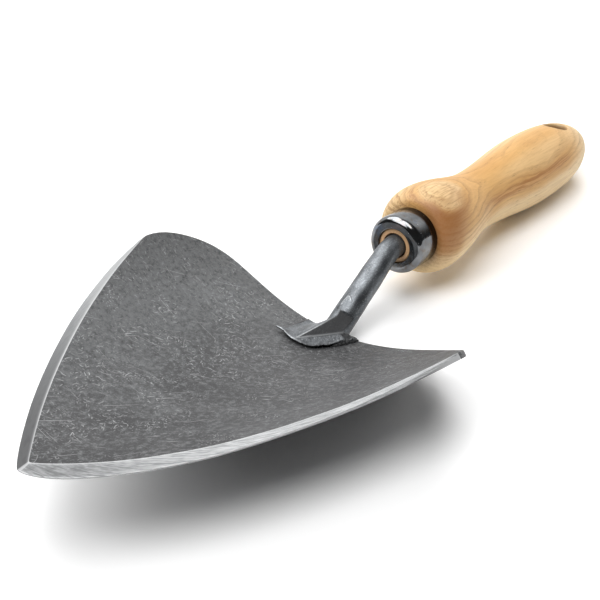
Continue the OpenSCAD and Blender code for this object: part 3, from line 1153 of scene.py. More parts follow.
@dataclass
class Blade:
    """The dished, heart-shaped blade: sizes in mm and degrees, u from heel to tip, y to the left."""

    length: float = 134.0
    width: float = 117.0
    shoulder_u: float = 33.5
    plate_t: float = 2.1
    tip_t: float = 1.4
    hollow_r: float = 83.5
    tip_angle: float = 47.0
    right_tip_angle: float = 75.0
    tip_round: float = 1.2
    shoulder_round: float = 0.7
    shoulder_reach: float = 13.0
    lobe_swell: float = 0.85
    lobe_back: float = 9.0
    tip_pull: float = 15.5
    right_tip_pull: float = 20.5
    shoulder_pull: float = 56.5
    right_shoulder_pull: float = 39.5
    shoulder_flare: float = 12.0
    lobe_pull: float = 38.0
    right_lobe_pull: float = 43.0
    lobe_slant: float = 7.0
    right_lobe_slant: float = 20.0
    heel_pull: float = 45.5
    right_heel_pull: float = 28.0
    bevel_w: float = 2.8
    left_bevel_w: float = 3.6
    far_bevel_w: float = 3.9
    inner_round: float = 0.45
    edge_t: float = 0.3
    land_power: float = 4.0
    heel_reach: float = 30.5
    heel_drop: float = 21.8
    rim_round: float = 0.45
    last_column: float = 0.996
    column_even: float = 0.65
    columns: int = 170
    edge_rows: int = 5
    top_rows: int = 64
    bevel_rows: int = 7
    under_rows: int = 40
    rim_turns: Tuple[float, ...] = (30.0, 60.0, 90.0)
    rim_most: float = 0.3
    arris_w: float = 0.45
    arris_most: float = 0.3
    arris_near: float = 0.15
    sway: Tuple[Ripple, ...] = (Ripple(0.22, 0.045, 7.7), Ripple(0.088, 0.13, 2.9))
    sway_rim: float = 6.0
    sway_heel: Levels = (0.0, 12.0)
    sway_tip: Levels = (130.0, 115.0)
    sharp: float = 32.0

    @property
    def tilt(self) -> float:
        """Slope of the blade against the handle's axis, in radians."""
        return math.asin(self.heel_drop / self.length)

    @property
    def tip(self) -> Points:
        """The point, before it is blunted, in plan."""
        return np.array([self.length, 0.0])

    @property
    def shoulder(self) -> Points:
        """The left shoulder in plan."""
        return np.array([self.shoulder_u, self.width / 2])

    @staticmethod
    def blunted(plan: Points, angle: float, radius: float) -> Points:
        """Draw the point of an edge back by a radius; its angle is to the middle line."""
        k = plan[:, 1] / math.tan(math.radians(angle))
        return np.stack([plan[:, 0] + k - np.sqrt(k * k + radius ** 2), plan[:, 1]], -1)

    def eased(self, plan: Points) -> Points:
        """Round the shoulder, which two plain curves leave as a corner.

        Args:
            plan: Plan points, with y counted from the middle outwards.

        Returns:
            The points, let out behind the shoulder and drawn in at its corner.
        """
        ahead = self.shoulder - plan
        inward = np.maximum(ahead[..., 1], 0.0)
        beside = ahead - np.array([self.lobe_back, 0.0])
        swell = self.lobe_swell * np.exp(-np.sum(beside ** 2, -1) / self.shoulder_reach ** 2)
        drawn = np.sqrt(inward ** 2 + self.shoulder_round ** 2) - inward
        out = plan.copy()
        out[..., 1] += swell - drawn * np.exp(-np.abs(ahead[..., 0]) / self.shoulder_reach)
        return out

    def cutting_edge(self, t: Points, side: int) -> Points:
        """Follow the cutting edge of one half, from the tip to its shoulder.

        Args:
            t: Shares of its run.
            side: 1 for the left half and -1 for the right.

        Returns:
            Plan points, with y counted from the middle outwards.
        """
        angle, pull, at_shoulder = (
            (self.tip_angle, self.tip_pull, self.shoulder_pull) if side > 0
            else (self.right_tip_angle, self.right_tip_pull, self.right_shoulder_pull))
        controls = [self.tip, self.tip + pull * heading(180 - angle),
                    self.shoulder + at_shoulder * heading(-self.shoulder_flare), self.shoulder]
        return self.blunted(bezier(controls, t), angle, self.tip_round)

    def bevel_line(self, t: Points, side: int) -> Points:
        """Follow the inner line of the ground bevel of one half.

        Args:
            t: Shares of its run.
            side: 1 for the left half and -1 for the right.

        Returns:
            Plan points, with y counted from the middle outwards.
        """
        a, f, w = self.tip_angle, self.shoulder_flare, self.bevel_w
        near = self.left_bevel_w if side > 0 else w
        controls = [self.tip - np.array([w / math.sin(math.radians(a)), 0.0]),
                    self.tip + self.tip_pull * heading(180 - a) + near * heading(270 - a),
                    self.shoulder + self.shoulder_pull * heading(-f) + self.far_bevel_w * heading(270 - f),
                    self.shoulder]
        return self.blunted(bezier(controls, t), a, self.inner_round)

    def rear_edge(self, t: Points, side: int) -> Points:
        """Follow the rear edge of one half, from the heel round its lobe.

        Args:
            t: Shares of its run.
            side: 1 for the left half and -1 for the right.

        Returns:
            Plan points, with y counted from the middle outwards.
        """
        heel, lobe, slant = (
            (self.heel_pull, self.lobe_pull, self.lobe_slant) if side > 0
            else (self.right_heel_pull, self.right_lobe_pull, self.right_lobe_slant))
        controls = [(0.0, 0.0), (0.0, heel), self.shoulder - lobe * heading(slant), self.shoulder]
        return bezier(controls, t)

    def thickness(self, plan: Points) -> Points:
        """Give the plate's thickness at plan points."""
        return lerp(self.plate_t, self.tip_t, plan[..., 0] / self.length)

    def bed(self, y: Any) -> Any:
        """Give the height of the hollow upper face above the heel, at distances from the middle."""
        return self.hollow_r - np.sqrt(np.maximum(self.hollow_r ** 2 - y ** 2, 1.0))

    def on_plate(self, plan: Points, depth: Points) -> Points:
        """Set plan points on the hollow upper face, or a depth below it.

        Args:
            plan: Plan points.
            depth: Depths square to the plate.

        Returns:
            Points of the blade's frame.
        """
        sine = plan[..., 1] / self.hollow_r
        cosine = np.sqrt(1.0 - sine ** 2)
        return np.stack([plan[..., 0], plan[..., 1] + depth * sine,
                         self.hollow_r * (1 - cosine) - depth * cosine], -1)

    def in_tool(self, points: Points) -> Points:
        """Turn points of the blade's frame into the handle's frame.

        Args:
            points: Points of the blade's frame.

        Returns:
            The same points.
        """
        c, s = math.cos(self.tilt), math.sin(self.tilt)
        x, y, z = points[..., 0], points[..., 1], points[..., 2]
        return np.stack([-self.heel_reach - x * c + z * s, y, -self.heel_drop + x * s + z * c], -1)

    def on_blade(self, points: Points) -> Points:
        """Turn points of the handle's frame into the blade's frame.

        Args:
            points: Points of the handle's frame.

        Returns:
            The same points.
        """
        c, s = math.cos(self.tilt), math.sin(self.tilt)
        x, z = points[..., 0] + self.heel_reach, points[..., 2] + self.heel_drop
        return np.stack([-x * c + z * s, points[..., 1], x * s + z * c], -1)

    def half(self, t: Points, side: int) -> Tuple[Points, Points]:
        """Make the sections of one half.

        Args:
            t: Shares of the run from the middle to the shoulder.
            side: 1 for the left half and -1 for the right.

        Returns:
            Sections in the blade's frame, one row for each share, and for each of their points its
            run along the cutting edge, its share across the bevel and how near it is to the arris.
        """
        edge, inner, rear = self.cutting_edge(t, side), self.bevel_line(t, side), self.rear_edge(t, side)
        steps = np.linalg.norm(np.diff(edge, axis=0), axis=1)
        run = side * np.concatenate([[0.0], np.cumsum(steps)])
        spread = np.linalg.norm(inner - rear, axis=1, keepdims=True)
        spread = np.maximum(spread, LEAST)
        inward = (inner - rear) / spread
        plate = self.thickness(edge)
        land = lerp(self.edge_t, plate, t ** self.land_power)
        rim = np.minimum(self.rim_round, self.rim_most * spread)
        width = np.maximum(np.linalg.norm(inner - edge, axis=1, keepdims=True), LEAST)
        near = np.minimum(self.arris_w / width, self.arris_most)
        rows: List[Tuple[Points, Points, float, float]] = []
        for k in np.linspace(0.0, 1.0, self.edge_rows):
            rows.append((edge, plate - land * k, k - 1.0, 0.0))
        for i in range(1, self.bevel_rows):
            k = i / self.bevel_rows
            share = k * (1 - near)
            rows.append((lerp(edge, inner, share), (plate - land) * (1 - share[:, 0]), k, 0.0))
        rows.append((lerp(edge, inner, 1 - near), (plate - land) * near[:, 0], 1.0, self.arris_near))
        rows.append((inner, np.zeros_like(t), 1.0, 1.0))
        start = np.minimum(self.arris_w / spread, self.arris_most)
        stop = 1 - rim / spread
        for i in range(self.top_rows + 1):
            k = 0.5 - 0.5 * math.cos(math.pi * i / self.top_rows)
            rows.append((lerp(inner, rear, lerp(start, stop, k)), np.zeros_like(t), 1.0, 0.0))
        back = self.thickness(rear)
        for turn in self.rim_turns:
            c, s = heading(turn)
            rows.append((rear + inward * rim * (1 - s), rim[:, 0] * (1 - c), 1.0, 0.0))
        for turn in (0.0,) + self.rim_turns:
            c, s = heading(turn)
            rows.append((rear + inward * rim * (1 - c), back - rim[:, 0] * (1 - s), 1.0, 0.0))
        for i in range(1, self.under_rows):
            plan = lerp(rear + inward * rim, edge, i / self.under_rows)
            rows.append((plan, self.thickness(plan), 1.0, 0.0))
        points, marks = [], []
        for plan, depth, across, arris in rows:
            signed = self.eased(plan) * np.array([1.0, side])
            points.append(self.on_plate(signed, depth))
            marks.append(np.stack([run, np.full_like(run, across), np.full_like(run, arris)], -1))
        return np.stack(points, 1), np.stack(marks, 1)

    def build(self, layout: Layout, plate: Material,
              ground: Material) -> Piece:
        """Build the blade.

        Args:
            layout: How the tool lies.
            plate: Material of the forged plate.
            ground: Material of the ground edge.

        Returns:
            The piece.
        """
        k = np.linspace(0.0, 1.0, self.columns)
        eased = (1 - np.cos(math.pi * k)) / 2
        t = self.last_column * lerp(eased, k, self.column_even)
        left, left_marks = self.half(t, 1)
        right, right_marks = self.half(t, -1)
        points = np.concatenate([right[::-1], left[1:]])
        marks = np.concatenate([right_marks[::-1], left_marks[1:]])
        inside = held((1 - np.abs(points[..., 1]) / (self.width / 2)) * self.sway_rim)
        inside = inside * fade(points[..., 0], self.sway_heel) * fade(points[..., 0], self.sway_tip)
        points[..., 2] += uneven(points, self.sway) * inside
        rings, size = points.shape[:2]
        placed = layout.place(self.in_tool(points))
        piece = new_piece("blade_plate", placed, tube_faces(rings, size), self.sharp)
        store(piece.data, "edge_place", marks)
        dress(piece, "blade", [plate, ground])
        self.mark_ground(piece, size)
        return piece

    def mark_ground(self, piece: Piece, size: int) -> None:
        """Give the faces of the bevel and of the thin cutting edge their own material.

        Args:
            piece: The blade.
            size: Points in each of its sections.
        """
        bevel_end = self.edge_rows + self.bevel_rows
        for face in piece.data.polygons:
            corners = [(v // size, v % size) for v in face.vertices]
            if len(corners) == 4 and max(r for _, r in corners) <= bevel_end:
                face.material_index = 1


@dataclass
class Tang:
    """The cranked tang with its forged foot: sizes in mm, in the handle's and the blade's frames."""

    blade: Blade
    foot_u: float = 5.0
    elbow_x: float = 2.6
    bend_r: float = 16.0
    diameter: float = 8.0
    foot_d: float = 9.2
    shank_step: float = 0.15
    shank_quick: float = 6.0
    depth: float = 110.0
    point: float = 12.0
    tip_d: float = 2.6
    foot_sink: float = 4.0
    straight_steps: int = 60
    bend_steps: int = 14
    shank_steps: int = 40
    sides: int = 64
    bed_gap: float = 0.05
    bed_reach: float = -14.0
    leaf_t: float = 1.1
    leaf_least: float = 0.3
    leaf_middle: Levels = (8.0, 3.0)
    leaf_outline: Tuple[Levels, ...] = (
        (0.2, 12.5), (4.3, 12.7), (8.4, 12.8), (11.3, 12.5), (14.6, 12.0), (17.0, 14.4), (17.0, 11.3),
        (17.9, 9.6), (18.8, 6.6), (19.2, 3.2), (19.1, 0.7), (18.0, -1.9), (15.4, -3.0), (13.0, -4.5),
        (9.3, -5.3), (6.0, -6.2), (3.4, -7.2), (0.2, -7.3))
    spokes: int = 260
    rings: int = 56
    ragged: Ripple = Ripple(0.32, 0.9, 4.4)
    free_left_y: float = 7.0
    free_left_u: float = 12.5
    free_right_u: float = 2.0
    free_len: float = 4.0
    rim_lift: float = 0.75
    rim_lift_w: float = 2.6
    rim_lift_top: float = 0.55
    rim_worn: float = 0.4
    rim_worn_w: float = 0.5
    left_rim: Tuple[Levels, ...] = (
        (0.0, 9.6), (3.0, 10.4), (8.0, 11.5), (13.0, 11.2), (17.4, 10.1), (19.0, 6.0))
    left_least: float = 0.5
    hollow_left: float = 1.25
    feather: float = 0.32
    feather_u: Levels = (15.0, 9.0)
    ridge_front: Triple = (18.0, 5.3, 1.4)
    ridge_top: Triple = (3.2, -0.1, 7.7)
    base_right: Triple = (4.7, -4.0, 3.3)
    stop_rise: float = 8.9
    stop_len: float = 0.35
    flat_u: Levels = (7.0, 5.5)
    settle_u: float = 4.5
    settle_y: float = 2.0
    settle_most: float = 1.0
    apron_w: float = 4.6
    apron_h: float = 2.05
    apron_power: float = 1.1
    apron_u: Levels = (0.4, 3.4)
    apron_heel: Levels = (0.0, 0.5)
    apron_beyond: Levels = (0.2, 1.0)
    apron_z: Levels = (4.2, 3.2)
    apron_lumps: Tuple[Ripple, ...] = (Ripple(0.2, 1.1, 5.5), Ripple(0.12, 2.4, 8.5))
    crease: Tuple[Levels, ...] = (
        (10.9, 1.4), (12.3, 1.35), (13.6, 1.0), (14.6, 0.55), (14.4, -0.2), (13.4, -1.2))
    crease_h: float = 0.12
    crease_w: float = 0.26
    nick: Levels = (9.0, 2.35)
    nick_deep: float = 0.4
    nick_w: float = 0.75
    voxel: float = 0.255
    smooth_passes: int = 3
    smooth_share: float = 0.5
    hammer: Tuple[Ripple, ...] = (Ripple(0.09, 0.22, 1.3), Ripple(0.027, 0.6, 4.6))
    hammer_x: Levels = (-0.5, -4.5)
    sharp: float = 50.0
    # Strengths and sizes of the painted highlights on the ridge, crease, rim and base line.
    ridge_highlight_share: float = 0.7
    ridge_highlight_off: Levels = (0.312, 0.072)
    ridge_highlight_run: Levels = (15.0, 9.0)
    ridge_highlight_end: float = -0.5
    crease_highlight_share: float = 0.4
    crease_highlight_w: float = 0.16
    crease_highlight_z: float = 4.0
    rim_highlight_share: float = 0.4
    rim_highlight_apron: float = 0.5
    rim_highlight_w: float = 0.3
    rim_highlight_h: Levels = (1.0, 1.25)
    base_highlight: Levels = (0.5, 0.2)
    base_highlight_w: float = 0.3
    base_highlight_h: float = 4.0
    base_highlight_u: float = 4.0
    leaf_from: float = 2.0
    leaf_top: float = 3.0
    # Heights and rim distances of the painted shade under the leaf's rim.
    rim_shade_h: Levels = (1.15, 0.95)
    rim_shade_gap: Levels = (0.9, 0.5)
    # Reach of the painted shade on the flat to the right of the ridge.
    facet_shade_off: float = 0.3
    facet_shade_z: float = 1.2
    facet_shade_u: float = 17.5
    facet_shade_past: float = 0.1
    scale_apron: float = 0.5

    def facet(self, points: Points) -> Points:
        """Measure how far points of the blade's frame stand in front of the ridge's right flat."""
        return (points - np.array(self.ridge_front)) @ self.facet_normal

    @property
    def facet_normal(self) -> Points:
        """Direction that the flat on the right of the ridge faces.

        Returns:
            A unit vector.
        """
        front = np.array(self.ridge_front)
        normal = np.cross(np.array(self.ridge_top) - front, np.array(self.base_right) - front)
        return normal / np.linalg.norm(normal)

    def crown(self, plan: Points, bed: Points) -> Points:
        """Give the height of the forged foot above the heel's upper face.

        Args:
            plan: Plan points on the blade.
            bed: Height of the plate below them.

        Returns:
            Heights of the foot's upper face.
        """
        u, y = plan[..., 0], plan[..., 1]
        front, top = np.array(self.ridge_front), np.array(self.ridge_top)
        back = np.maximum(front[0] - u, 0.0) / (front[0] - top[0])
        ridge_y = lerp(front[1], top[1], back)
        ridge_z = lerp(front[2], top[2], back)
        left_y = np.interp(u, *np.array(self.left_rim).T)
        out = held((y - ridge_y) / np.maximum(left_y - ridge_y, self.left_least))
        thin = lerp(1.0, self.feather, out * fade(u, self.feather_u))
        leaf = bed + self.bed_gap + self.leaf_t * thin
        left = leaf + np.maximum(ridge_z - leaf, 0.0) * (1 - out) ** self.hollow_left
        normal = self.facet_normal
        flat = front[2] - ((u - front[0]) * normal[0] + (y - front[1]) * normal[1]) / normal[2]
        beyond, share = self.beyond_base(plan)
        swell = held(1 - np.maximum(beyond, 0.0) / self.apron_w) ** self.apron_power
        apron = leaf + self.apron_h * share * swell * fade(u, self.apron_u)
        right = np.where(beyond > 0, apron, np.maximum(np.minimum(flat, ridge_z), apron))
        return np.where(y > ridge_y, left, right)

    def beyond_base(self, plan: Points) -> Tuple[Points, Points]:
        """Measure plan points against the line where the flat on the right meets the leaf.

        Args:
            plan: Plan points on the blade.

        Returns:
            How far they stand to the right of it, and their share of its run from the front.
        """
        front, base = np.array(self.ridge_front[:2]), np.array(self.base_right[:2])
        length = float(np.linalg.norm(front - base))
        line = (front - base) / length
        ahead = plan - base
        beyond = np.maximum(ahead[..., 0] * line[1] - ahead[..., 1] * line[0], -ahead[..., 1])
        return beyond, held(1 - (ahead @ line) / length)

    def path(self) -> Tuple[Points, Points, Points]:
        """Follow the middle of the bar from its point in the wood to its foot.

        Returns:
            Middle points, headings and radii.
        """
        foot = self.blade.in_tool(np.array([self.foot_u, 0.0, 0.0]))
        crank = math.atan2(-foot[2], -self.elbow_x - foot[0])
        start = self.bend_r * math.tan(crank / 2) - self.elbow_x
        down = np.array([-math.cos(crank), 0.0, -math.sin(crank)])
        middles, headings, radii = [], [], []
        straight = np.linspace(self.depth - self.point, start, self.straight_steps)
        for x in np.concatenate([[self.depth], straight]):
            middles.append((x, 0.0, 0.0))
            headings.append((-1.0, 0.0, 0.0))
            radii.append(self.tip_d / 2 if x == self.depth else self.diameter / 2)
        for a in np.linspace(0.0, crank, self.bend_steps)[1:]:
            middles.append((start - self.bend_r * math.sin(a), 0.0, -self.bend_r * (1 - math.cos(a))))
            headings.append((-math.cos(a), 0.0, -math.sin(a)))
            radii.append(self.diameter / 2)
        bend_end = np.array(middles[-1])
        run = float(np.dot(foot - bend_end, down))
        for k in np.linspace(0.0, 1.0, self.shank_steps)[1:]:
            middles.append(tuple(bend_end + down * (run + self.foot_sink) * k))
            headings.append(tuple(down))
            stepped = self.diameter / 2 + self.shank_step * min(1.0, self.shank_quick * k)
            radii.append(lerp(stepped, self.foot_d / 2, k))
        return np.array(middles), np.array(headings), np.array(radii)

    def bar(self) -> Tuple[Points, Faces]:
        """Sweep the round bar.

        Returns:
            Points in the handle's frame and faces.
        """
        middles, headings, radii = self.path()
        across = np.array([0.0, 1.0, 0.0])
        angles = np.linspace(0.0, FULL_TURN, self.sides, endpoint=False)
        rings = []
        for middle, ahead, radius in zip(middles, headings, radii):
            up = np.cross(ahead, across)
            rings.append(middle + radius * (np.cos(angles)[:, None] * across + np.sin(angles)[:, None] * up))
        return np.concatenate(rings), tube_faces(len(rings), self.sides)

    def rim(self) -> Tuple[Points, Points]:
        """Follow the leaf's ragged rim.

        Returns:
            Plan points, and for each of them 1 where the rim is free and 0 at the heel.
        """
        corner = np.array(self.leaf_outline + self.leaf_outline[:1])
        length = np.concatenate([[0.0], np.cumsum(np.linalg.norm(np.diff(corner, axis=0), axis=1))])
        k = np.linspace(0.0, length[-1], self.spokes, endpoint=False)
        rim = np.stack([np.interp(k, length, corner[:, 0]), np.interp(k, length, corner[:, 1])], -1)
        middle = np.array(self.leaf_middle)
        outward = (rim - middle) / np.linalg.norm(rim - middle, axis=1, keepdims=True)
        ragged = self.ragged.at(np.concatenate([rim, np.zeros((self.spokes, 1))], 1))
        start = np.where(rim[:, 1] > self.free_left_y, self.free_left_u, self.free_right_u)
        free = held((rim[:, 0] - start) / self.free_len)
        return rim + outward * (ragged * free)[:, None], free

    def leaf(self) -> Tuple[Points, Faces]:
        """Make the forged leaf that lies on the plate, lifted a little along its front rim.

        Returns:
            Points in the handle's frame and faces.
        """
        rim, free = self.rim()
        spokes, rings = self.spokes, self.rings
        middle = np.array(self.leaf_middle)
        shares = np.linspace(0.0, 1.0, rings + 1)[1:]
        plan = middle + (rim - middle)[None] * shares[:, None, None]
        gap = np.linalg.norm(rim - middle, axis=1)[None] * (1 - shares)[:, None]
        worn = self.rim_worn * (1 - np.sqrt(1 - (1 - held(gap / self.rim_worn_w)) ** 2))
        lifted = self.rim_lift * held(1 - gap / self.rim_lift_w) * free[None]
        under = self.blade.on_plate(plan, -(self.bed_gap + lifted))
        height = self.crown(plan, self.blade.bed(plan[..., 1])) + self.rim_lift_top * lifted - worn
        height = np.maximum(height, under[..., 2] + self.leaf_least)
        top = np.stack([plan[..., 0], plan[..., 1], height], -1)
        peak = np.array([[middle[0], middle[1], float(self.crown(middle, self.blade.bed(middle[1])))]])
        points = np.concatenate([
            top.reshape(-1, 3), under.reshape(-1, 3), peak,
            self.blade.on_plate(middle[None], np.array([-self.bed_gap]))])
        faces: Faces = []
        below, crown = rings * spokes, 2 * rings * spokes
        last = (rings - 1) * spokes
        for i in range(spokes):
            j = (i + 1) % spokes
            faces.append([crown, i, j])
            faces.append([crown + 1, below + j, below + i])
            for r in range(rings - 1):
                a, b = r * spokes, (r + 1) * spokes
                faces.append([a + i, b + i, b + j, a + j])
                faces.append([below + a + i, below + a + j, below + b + j, below + b + i])
            faces.append([last + i, below + last + i, below + last + j, last + j])
        return self.blade.in_tool(points), faces

    def fused(self) -> Tuple[Points, Faces]:
        """Fuse the bar and its forged foot to one skin, smoothed and hammered.

        Returns:
            Points in the handle's frame and faces.
        """
        points, faces, count = [], [], 0
        for found, made in (self.bar(), self.leaf()):
            points.append(found)
            faces.extend([[count + v for v in face] for face in made])
            count += len(found)
        rough = new_piece("tang_rough", np.concatenate(points), faces)
        remesh = rough.modifiers.new("skin", "REMESH")
        remesh.mode = "VOXEL"
        remesh.voxel_size = self.voxel
        graph = bpy.context.evaluated_depsgraph_get()
        skin = bpy.data.meshes.new_from_object(rough.evaluated_get(graph))
        work = bmesh.new()
        work.from_mesh(skin)
        for _ in range(self.smooth_passes):
            bmesh.ops.smooth_vert(work, verts=work.verts, factor=self.smooth_share,
                                  use_axis_x=True, use_axis_y=True, use_axis_z=True)
        work.verts.index_update()
        work.normal_update()
        found = np.array([v.co[:] for v in work.verts])
        away = np.array([v.normal[:] for v in work.verts])
        made = [[v.index for v in face.verts] for face in work.faces]
        work.free()
        bpy.data.objects.remove(rough)
        bpy.data.meshes.remove(skin)
        raised = uneven(found, self.hammer) + self.bar_marks(found)
        return found + away * (raised * fade(found[:, 0], self.hammer_x))[:, None], made

    def bar_marks(self, points: Points) -> Points:
        """Give the height of the crease and the nick that the smith left on the bar.

        Args:
            points: Points of the handle's frame.

        Returns:
            Heights above the round bar.
        """
        rise, turn = self.round_bar(self.blade.on_blade(points))
        spot = np.stack([rise, turn * self.foot_d / 2], -1)
        off = np.linalg.norm(spot - np.array(self.nick), axis=1)
        height = -self.nick_deep * np.exp(-(off / self.nick_w) ** 2)
        return height + self.crease_h * np.exp(-(self.crease_gap(spot) / self.crease_w) ** 2)

    def crease_gap(self, spot: Points) -> Points:
        """Measure how far places on the bar lie from its crease.

        Args:
            spot: Places, as rise and girth in mm.

        Returns:
            Distances in mm.
        """
        gaps = []
        for first, last in zip(self.crease, self.crease[1:]):
            start, run = np.array(first), np.array(last) - np.array(first)
            k = held((spot - start) @ run / float(run @ run))
            gaps.append(np.linalg.norm(spot - start - k[:, None] * run, axis=1))
        return np.min(gaps, axis=0)

    def build(self, layout: Layout, steel: Material) -> Piece:
        """Build the tang.

        Args:
            layout: How the tool lies.
            steel: Its material.

        Returns:
            The piece.
        """
        points, faces = self.fused()
        place = self.flattened(self.blade.on_blade(points))
        apron = self.apron(place)
        place[:, 2] += apron * uneven(place, self.apron_lumps)
        bed = self.blade.bed(place[:, 1]) + self.bed_gap
        near = place[:, 0] > self.bed_reach
        place[:, 2] = np.where(near, np.maximum(place[:, 2], bed), place[:, 2])
        piece = new_piece("tang_bar", layout.place(self.blade.in_tool(place)), faces, self.sharp)
        store(piece.data, "forge_marks", self.forge_marks(place, bed, apron))
        dress(piece, "tang", [steel])
        return piece

    def round_bar(self, place: Points) -> Tuple[Points, Points]:
        """Measure where points stand on the bar, from where its axis meets the blade.

        Args:
            place: Points of the blade's frame.

        Returns:
            Distances up the bar, and angles round it from its upper side to the left.
        """
        _, headings, _ = self.path()
        foot = np.array([self.foot_u, 0.0, 0.0])
        above = self.blade.on_blade(self.blade.in_tool(foot) - headings[-1]) - foot
        front = np.cross(np.array([0.0, 1.0, 0.0]), above)
        front = front * np.sign(front[0])
        ahead = place - foot
        return ahead @ above, np.arctan2(ahead[:, 1], ahead @ front)

    def flattened(self, place: Points) -> Points:
        """Cut the flat of the ridge into the round bar, up to its stop.

        Args:
            place: Points of the blade's frame.

        Returns:
            The points, moved back to the flat where they stood in front of it.
        """
        rise, _ = self.round_bar(place)
        stop = held((self.stop_rise - rise) / self.stop_len)
        cut = np.maximum(self.facet(place), 0.0) * stop * fade(place[:, 0], self.flat_u)
        moved = place - cut[:, None] * self.facet_normal
        over = moved[:, 2] - self.crown(moved[:, :2], self.blade.bed(moved[:, 1]))
        low = (moved[:, 0] > self.settle_u) & (moved[:, 1] < self.settle_y)
        low = low & (over > 0) & (over < self.settle_most)
        moved[:, 2] -= np.where(low, over, 0.0)
        return moved

    def apron(self, place: Points) -> Points:
        """Find the granular apron to the right of the ridge.

        Args:
            place: Points of the blade's frame.

        Returns:
            1 on the apron and 0 elsewhere.
        """
        beyond, _ = self.beyond_base(place[:, :2])
        low = fade(place[:, 2], self.apron_z)
        return fade(beyond, self.apron_beyond) * low * fade(place[:, 0], self.apron_heel)

    def rim_gap(self, place: Points) -> Tuple[Points, Points]:
        """Measure how far points stand inside the leaf's rim.

        Args:
            place: Points of the blade's frame.

        Returns:
            Distances to the rim, and how free the rim is beside each point.
        """
        rim, free = self.rim()
        middle = np.array(self.leaf_middle)
        turn = np.arctan2(rim[:, 1] - middle[1], rim[:, 0] - middle[0])
        order = np.argsort(turn)
        reach = np.linalg.norm(rim - middle, axis=1)
        here = np.arctan2(place[:, 1] - middle[1], place[:, 0] - middle[0])
        limit = np.interp(here, turn[order], reach[order], period=FULL_TURN)
        loose = np.interp(here, turn[order], free[order], period=FULL_TURN)
        return limit - np.linalg.norm(place[:, :2] - middle, axis=1), loose

    def ridge_highlight_line(self, place: Points) -> Points:
        """Find the line of painted highlight along the ridge.

        Args:
            place: Points of the blade's frame.

        Returns:
            1 on the line and 0 elsewhere.
        """
        front, top = np.array(self.ridge_front), np.array(self.ridge_top)
        along = (top - front) / np.linalg.norm(top - front)
        run = (place - front) @ along
        off = np.linalg.norm(place - front - run[:, None] * along, axis=1)
        return fade(off, self.ridge_highlight_off) * fade(run, self.ridge_highlight_run) * (run > self.ridge_highlight_end)

    def forge_marks(self, place: Points, bed: Points, apron: Points) -> Points:
        """Find the painted highlights on the tang, its scale with painted shade on the flat, and the painted
        shade under the leaf's rim.

        Args:
            place: Points of the blade's frame.
            bed: Height of the plate below each point.
            apron: 1 on the apron and 0 elsewhere.

        Returns:
            Painted highlight, scale with painted shade on the flat, and painted rim shade for each point.
        """
        u, z = place[:, 0], place[:, 2]
        height = z - bed
        gap, loose = self.rim_gap(place)
        on_leaf = (u > self.leaf_from) & (height < self.leaf_top)
        # Painted highlight along the top edge of the leaf's rim.
        worn = held(1 - np.abs(gap - self.rim_highlight_w) / self.rim_highlight_w) * on_leaf
        worn = worn * fade(height, self.rim_highlight_h) * (1 - self.rim_highlight_apron * apron)
        # Painted shade: darkens the rim wall and the gap under the lifted leaf.
        rim_shade = fade(height, self.rim_shade_h) * fade(gap, self.rim_shade_gap) * on_leaf * loose
        rise, angle = self.round_bar(place)
        # Painted shade: the flat to the right of the ridge is darkened as scale.
        flat = held(1 - np.abs(self.facet(place)) / self.facet_shade_off) * (z > self.facet_shade_z)
        flat = flat * (u < self.facet_shade_u) * (rise < self.stop_rise + self.facet_shade_past)
        spot = np.stack([rise, angle * self.foot_d / 2], -1)
        # Painted highlight along the crease.
        crease = np.exp(-(self.crease_gap(spot) / self.crease_highlight_w) ** 2) * (z > self.crease_highlight_z)
        beyond, share = self.beyond_base(place[:, :2])
        # Painted highlight along the base line of the flat.
        base = held(1 - np.abs(beyond) / self.base_highlight_w) * lerp(*self.base_highlight, share)
        base = base * (height < self.base_highlight_h) * (u > self.base_highlight_u)
        rub = np.maximum.reduce([self.ridge_highlight_share * self.ridge_highlight_line(place), self.crease_highlight_share * crease,
                                 self.rim_highlight_share * worn, base])
        return np.stack([rub, held(flat + self.scale_apron * apron), rim_shade], -1)


